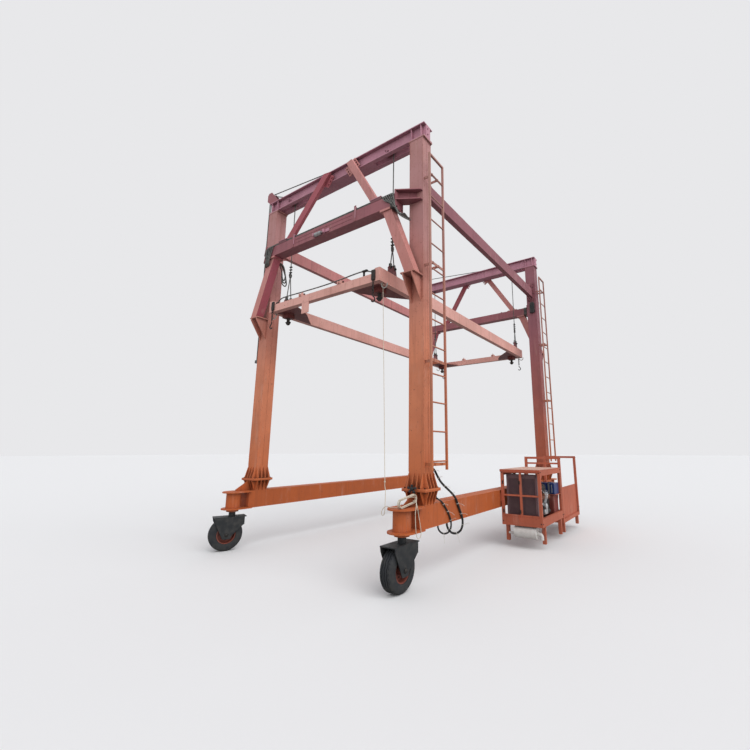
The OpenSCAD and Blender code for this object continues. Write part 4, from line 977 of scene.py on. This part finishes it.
HOSE_FRONT = [
    (1.935, -2.67, 1.06), (1.935, -2.64, 1.06), (1.946, -2.605, 1.05), (1.965, -2.57, 1.03),
    (1.988, -2.535, 1.004), (2.002, -2.495, 0.972), (2.003, -2.45, 0.935), (2.001, -2.4, 0.89),
    (2.001, -2.35, 0.84), (2.001, -2.305, 0.785), (2.001, -2.27, 0.73), (2.001, -2.252, 0.675),
    (2.0, -2.25, 0.62), (1.988, -2.258, 0.57), (1.958, -2.272, 0.532), (1.912, -2.29, 0.515),
    (1.866, -2.308, 0.528), (1.834, -2.322, 0.566), (1.824, -2.33, 0.612), (1.824, -2.33, 0.65),
]
HOSE_BACK = [
    (1.88, -2.67, 1.46), (1.88, -2.63, 1.46), (1.882, -2.58, 1.45), (1.885, -2.53, 1.425),
    (1.888, -2.485, 1.385), (1.892, -2.445, 1.335), (1.898, -2.405, 1.285), (1.908, -2.36, 1.235),
    (1.926, -2.305, 1.185), (1.948, -2.245, 1.135), (1.97, -2.185, 1.085), (1.991, -2.13, 1.03),
    (2.005, -2.085, 0.97), (2.006, -2.045, 0.905), (2.005, -2.0, 0.84), (2.005, -1.955, 0.775),
    (2.005, -1.915, 0.705), (2.004, -1.895, 0.635), (1.996, -1.898, 0.565), (1.97, -1.912, 0.505),
    (1.92, -1.932, 0.468), (1.862, -1.955, 0.465), (1.812, -1.975, 0.5), (1.786, -1.988, 0.555),
    (1.78, -1.992, 0.61), (1.78, -1.992, 0.65),
]
ROPE_LEAD = [
    (1.637, -3.35, 1.2785), (1.637, -3.35, 1.24), (1.651, -3.354, 1.19), (1.655, -3.357, 1.13),
    (1.657, -3.361, 1.07), (1.657, -3.365, 1.01), (1.657, -3.369, 0.955), (1.656, -3.372, 0.915),
    (1.6495, -3.375, 0.8885), (1.631, -3.377, 0.88), (1.6125, -3.375, 0.8885), (1.606, -3.37, 0.911),
    (1.61, -3.365, 0.938), (1.624, -3.359, 0.962), (1.645, -3.354, 0.98), (1.67, -3.351, 0.988),
    (1.7, -3.352, 0.987), (1.735, -3.358, 0.982), (1.775, -3.366, 0.981), (1.815, -3.372, 0.984),
    (1.838, -3.374, 0.988), (1.857, -3.374, 0.99),
]
ROPE_BIGHT = [
    (1.9302, -3.1, 1.095), (1.952, -3.1, 1.095), (1.974, -3.114, 1.085), (1.996, -3.142, 1.06),
    (2.018, -3.178, 1.026), (2.038, -3.21, 1.003), (2.054, -3.235, 0.987), (2.057, -3.25, 0.961),
    (2.057, -3.256, 0.917), (2.057, -3.256, 0.869), (2.057, -3.254, 0.821), (2.057, -3.251, 0.773),
    (2.057, -3.246, 0.725), (2.057, -3.238, 0.678), (2.057, -3.222, 0.64), (2.057, -3.2, 0.618),
    (2.057, -3.175, 0.612), (2.057, -3.15, 0.621), (2.057, -3.133, 0.643), (2.057, -3.128, 0.678),
    (2.057, -3.134, 0.725), (2.057, -3.147, 0.773), (2.057, -3.162, 0.821), (2.057, -3.177, 0.869),
    (2.057, -3.19, 0.917), (2.057, -3.2, 0.955), (2.052, -3.202, 0.983), (2.038, -3.19, 1.001),
    (2.018, -3.166, 1.012), (1.992, -3.136, 1.028), (1.972, -3.11, 1.042), (1.952, -3.1, 1.05),
    (1.9302, -3.1, 1.05),
]
HANK_LOW = Vector((0, -3.36, 1.0353))
HANK_HIGH = Vector((0, -3.08, 1.075))


def dense(points, step=0.004):
    """The same line with points close enough together for a rope's strands."""
    made = []
    for a, b in zip(points, points[1:]):
        count = max(1, round((b - a).length / step))
        made += [a.lerp(b, k / count) for k in range(count)]
    return made + [points[-1]]


def laid_rope(points):
    """The white rope's three strands along points."""
    return Piece().sweep(points, PULL_R, 9, 3, 0.034)


def cable_ties(m, name, run, radius):
    """Pale cable ties round a hose, their tails left long."""
    piece = Piece()
    rng = random.Random(7)
    thick = 0.0026
    for k in range(16, len(run) - 8, 12):
        along = (run[k + 1] - run[k - 1]).normalized()
        out = Vector((1, 0, -0.3)) if run[k].z > 0.6 else Vector((0.2, 0, -1))
        out = (out - along * out.dot(along)).normalized()
        reach = radius + 0.002
        piece.loop(ring(run[k], out * reach, along.cross(out) * reach, 20), thick, 6)
        tip = (out + along * rng.uniform(-0.7, 0.7)).normalized()
        start = run[k] + out * reach
        tail = [start, start + tip * 0.035, start + tip * 0.07, start + tip * 0.105 - Vector((0, 0, 0.014))]
        piece.sweep(smooth(tail, 3), thick, 6)
    return piece.done("cable_ties_" + name, m["nylon"])


def hoses(m):
    """Two hoses from the near right leg to the sill's underside."""
    for name, radius, points in (("hose_front", 0.012, HOSE_FRONT), ("hose_back", 0.016, HOSE_BACK)):
        run = curve(*points, steps=5)
        hose = Piece().sweep(run, radius, 16).done("smooth_" + name, m["hose"])
        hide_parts(name)
        ties = cable_ties(m, name, run, radius)


def hank_turns():
    """The hank's turns: four outwards from the leg, three back inside them, and across to the bight."""
    tilt = math.atan2(HANK_HIGH.z - HANK_LOW.z, HANK_HIGH.y - HANK_LOW.y)
    x, y, z = ROPE_LEAD[-1]
    made = [at(x + 0.032 * math.sin(t), y - 0.0284 * (1 - math.cos(t)), z + 0.0135 * (1 - math.cos(t)))
            for t in (0.25, 0.5, 0.75, 1.0, 1.25)]
    start, end, per_turn, pitch = 0.17, 7.49, 36, 0.0092
    looser = (0.0, 0.013, 0.002, 0.010, 0.0, 0.0, 0.0, 0.0)
    for k in range(int((end - start) * per_turn) + 1):
        wound = start + k / per_turn
        inside = min(max(wound - 4.1, 0) / 0.5, 1)
        x = 1.8888 + pitch * min(wound - 0.1, 4.0) - pitch * max(wound - 4.6, 0)
        radius = 0.053 - 0.0115 * inside
        angle = tilt - math.pi / 2 - 2 * math.pi * wound
        middle = HANK_LOW - Vector((0, looser[int(wound)], 0)) if wound % 1 < 0.5 else HANK_HIGH
        made.append(at(x, middle.y + radius * math.cos(angle), middle.z + radius * math.sin(angle)))
    across = ((1.8995, -3.30, 1.0850), (1.900, -3.20, 1.0935), (1.905, -3.145, 1.0958), (1.915, -3.115, 1.0955))
    return made[:-1] + smooth(made[-1:] + [at(*p) for p in across], 4)


def white_rope(m):
    """The pull rope's spare length: down from its knot into a hank on the leg's foot, then a bight by the sill."""
    run = curve(*ROPE_LEAD, steps=5) + hank_turns() + curve(*ROPE_BIGHT, steps=5)
    run += [at(1.922, -3.1, 1.05), at(1.914, -3.1, 1.05)]
    rope = laid_rope(dense(run)).done("white_rope", m["cloth_rope"])
    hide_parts("rope_lead", "rope_hank", "rope_bight")
    sin, cos, middle = math.sin, math.cos, at(1.637, -3.35, 1.2925)
    spots = [middle + 0.0033 * Vector((sin(t) + 2 * sin(2 * t), sin(3 * t), 1.2 * (cos(t) - 2 * cos(2 * t))))
             for t in turns(60)]
    knot = Piece().loop(spots, PULL_R, 9).done("pull_knot", m["cloth_rope"])
    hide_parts("rope_knot")


def pull_rope_run(m):
    """The taut part of the white rope, up to the eye under the lifting frame, where it is looped."""
    low, high = at(1.637, -3.35, 1.3045), at(1.30, -3.05, 4.2292)
    rope = laid_rope(dense([low, high], 0.005)).done("pull_rope_run", m["cloth_rope"], body=None)
    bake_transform(rope)
    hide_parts("pull_rope")
    spots = ring(at(1.30, -3.05, 4.242), (0.018, 0, 0), (0, 0.018, 0.003), 24)
    Piece().loop(spots, PULL_R, 9).done("pull_rope_loop", m["cloth_rope"], LIFTING)


# Scene


def place(name, data):
    """Adds an object to the scene."""
    made = bpy.data.objects.new(name, data)
    bpy.context.scene.collection.objects.link(made)
    return made


def make_camera():
    data = bpy.data.cameras.new("camera")
    camera = place("camera", data)
    data.sensor_width = SENSOR_MM
    data.lens = SENSOR_MM * FOCAL_PX / IMAGE_PX
    data.shift_x = (IMAGE_PX / 2 - CENTRE_PX[0]) / IMAGE_PX
    data.shift_y = (CENTRE_PX[1] - IMAGE_PX / 2) / IMAGE_PX
    data.clip_end = 500
    camera.location = CAMERA_AT
    camera.rotation_euler = (math.pi / 2 + CAMERA_PITCH, 0, CAMERA_YAW)
    bpy.context.scene.camera = camera
    bpy.context.scene.view_settings.view_transform = "Standard"


def make_world():
    """Overcast light all round, seen by the camera as a pale backdrop."""
    world = bpy.data.worlds.new("overcast")
    bpy.context.scene.world = world
    world.use_nodes = True
    tree = Nodes(world.node_tree)
    light = world.node_tree.nodes["Background"]
    tree.feed(light.inputs["Color"], srgb("#e9eaee"))
    tree.feed(light.inputs["Strength"], 0.78)
    seen = tree.node("ShaderNodeBackground", {"Color": srgb("#e8e8ea"), "Strength": 1.0})
    rays = tree.node("ShaderNodeLightPath").outputs
    direct = tree.node("ShaderNodeMath", {0: rays["Is Camera Ray"], 1: rays["Is Glossy Ray"]}, operation="MAXIMUM")
    mix = tree.node("ShaderNodeMixShader", {0: direct.outputs[0], 1: light.outputs[0], 2: seen.outputs[0]})
    tree.feed(world.node_tree.nodes["World Output"].inputs["Surface"], mix.outputs[0])


def make_sun():
    """The brighter part of the sky."""
    data = bpy.data.lights.new("sky_glow", "SUN")
    data.energy = 1.5
    data.angle = math.radians(60)
    place("sky_glow", data).rotation_euler = Vector((-0.75, 0.25, -0.75)).to_track_quat("-Z", "Y").to_euler()


def make_floor():
    """A wide floor, paler to the camera than in what it reflects."""
    far = 160.0
    mesh = bpy.data.meshes.new("floor")
    mesh.from_pydata([(-far, -far, 0), (far, -far, 0), (far, far, 0), (-far, far, 0)], [], [(0, 1, 2, 3)])
    material = bpy.data.materials.new("floor")
    material.use_nodes = True
    tree = Nodes(material.node_tree)
    bsdf = material.node_tree.nodes["Principled BSDF"]
    seen = tree.node("ShaderNodeLightPath").outputs["Is Camera Ray"]
    greys = {"Factor": seen, "A": (0.46, 0.45, 0.44, 1), "B": (0.86, 0.86, 0.86, 1)}
    tree.feed(bsdf.inputs["Base Color"], tree.node("ShaderNodeMix", greys, data_type="RGBA").outputs["Result"])
    tree.feed(bsdf.inputs["Roughness"], 0.8)
    mesh.materials.append(material)
    place("floor", mesh)


def dress_cad_nodes(nodes, materials):
    """Gives every CAD node its material, and rounds the edges of what is cut or welded from plate."""
    for name, node in nodes.items():
        node.data.materials.clear()
        node.data.materials.append(materials[material_of(name)])
        for polygon in node.data.polygons:
            polygon.material_index = 0
        if name.startswith(("hauling", "hoist", "hose", "rope_", "pull", "slings", "tyre", "pack_engine")):
            continue
        merge = node.modifiers.new("flat_faces", "DECIMATE")
        merge.decimate_type = "DISSOLVE"
        merge.angle_limit = math.radians(1)
        rounding = rounded(node, 0.004)
        rounding.angle_limit = math.radians(40)
        rounding.use_clamp_overlap = True


def main():
    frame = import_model()
    materials = make_materials()
    make_camera()
    make_world()
    make_sun()
    make_floor()
    dress_cad_nodes(frame["nodes"], materials)
    dressings = (
        hoses, white_rope, pull_rope_run, foot_bolts, weld_seams, beam_eyes, strut_bolts, cross_beam_fittings,
        rope_tails, hoist_rope_run, rope_clips, shackle_pins, frame_cable, corner_gear, tyres, wheel_nuts,
        radiator_mesh, engine_dressing, tank_details, pack_fasteners, muffler_bands, leg_fittings, ladder_bolts,
        tie_beam_fittings,
    )
    for dress in dressings:
        dress(materials)


main()
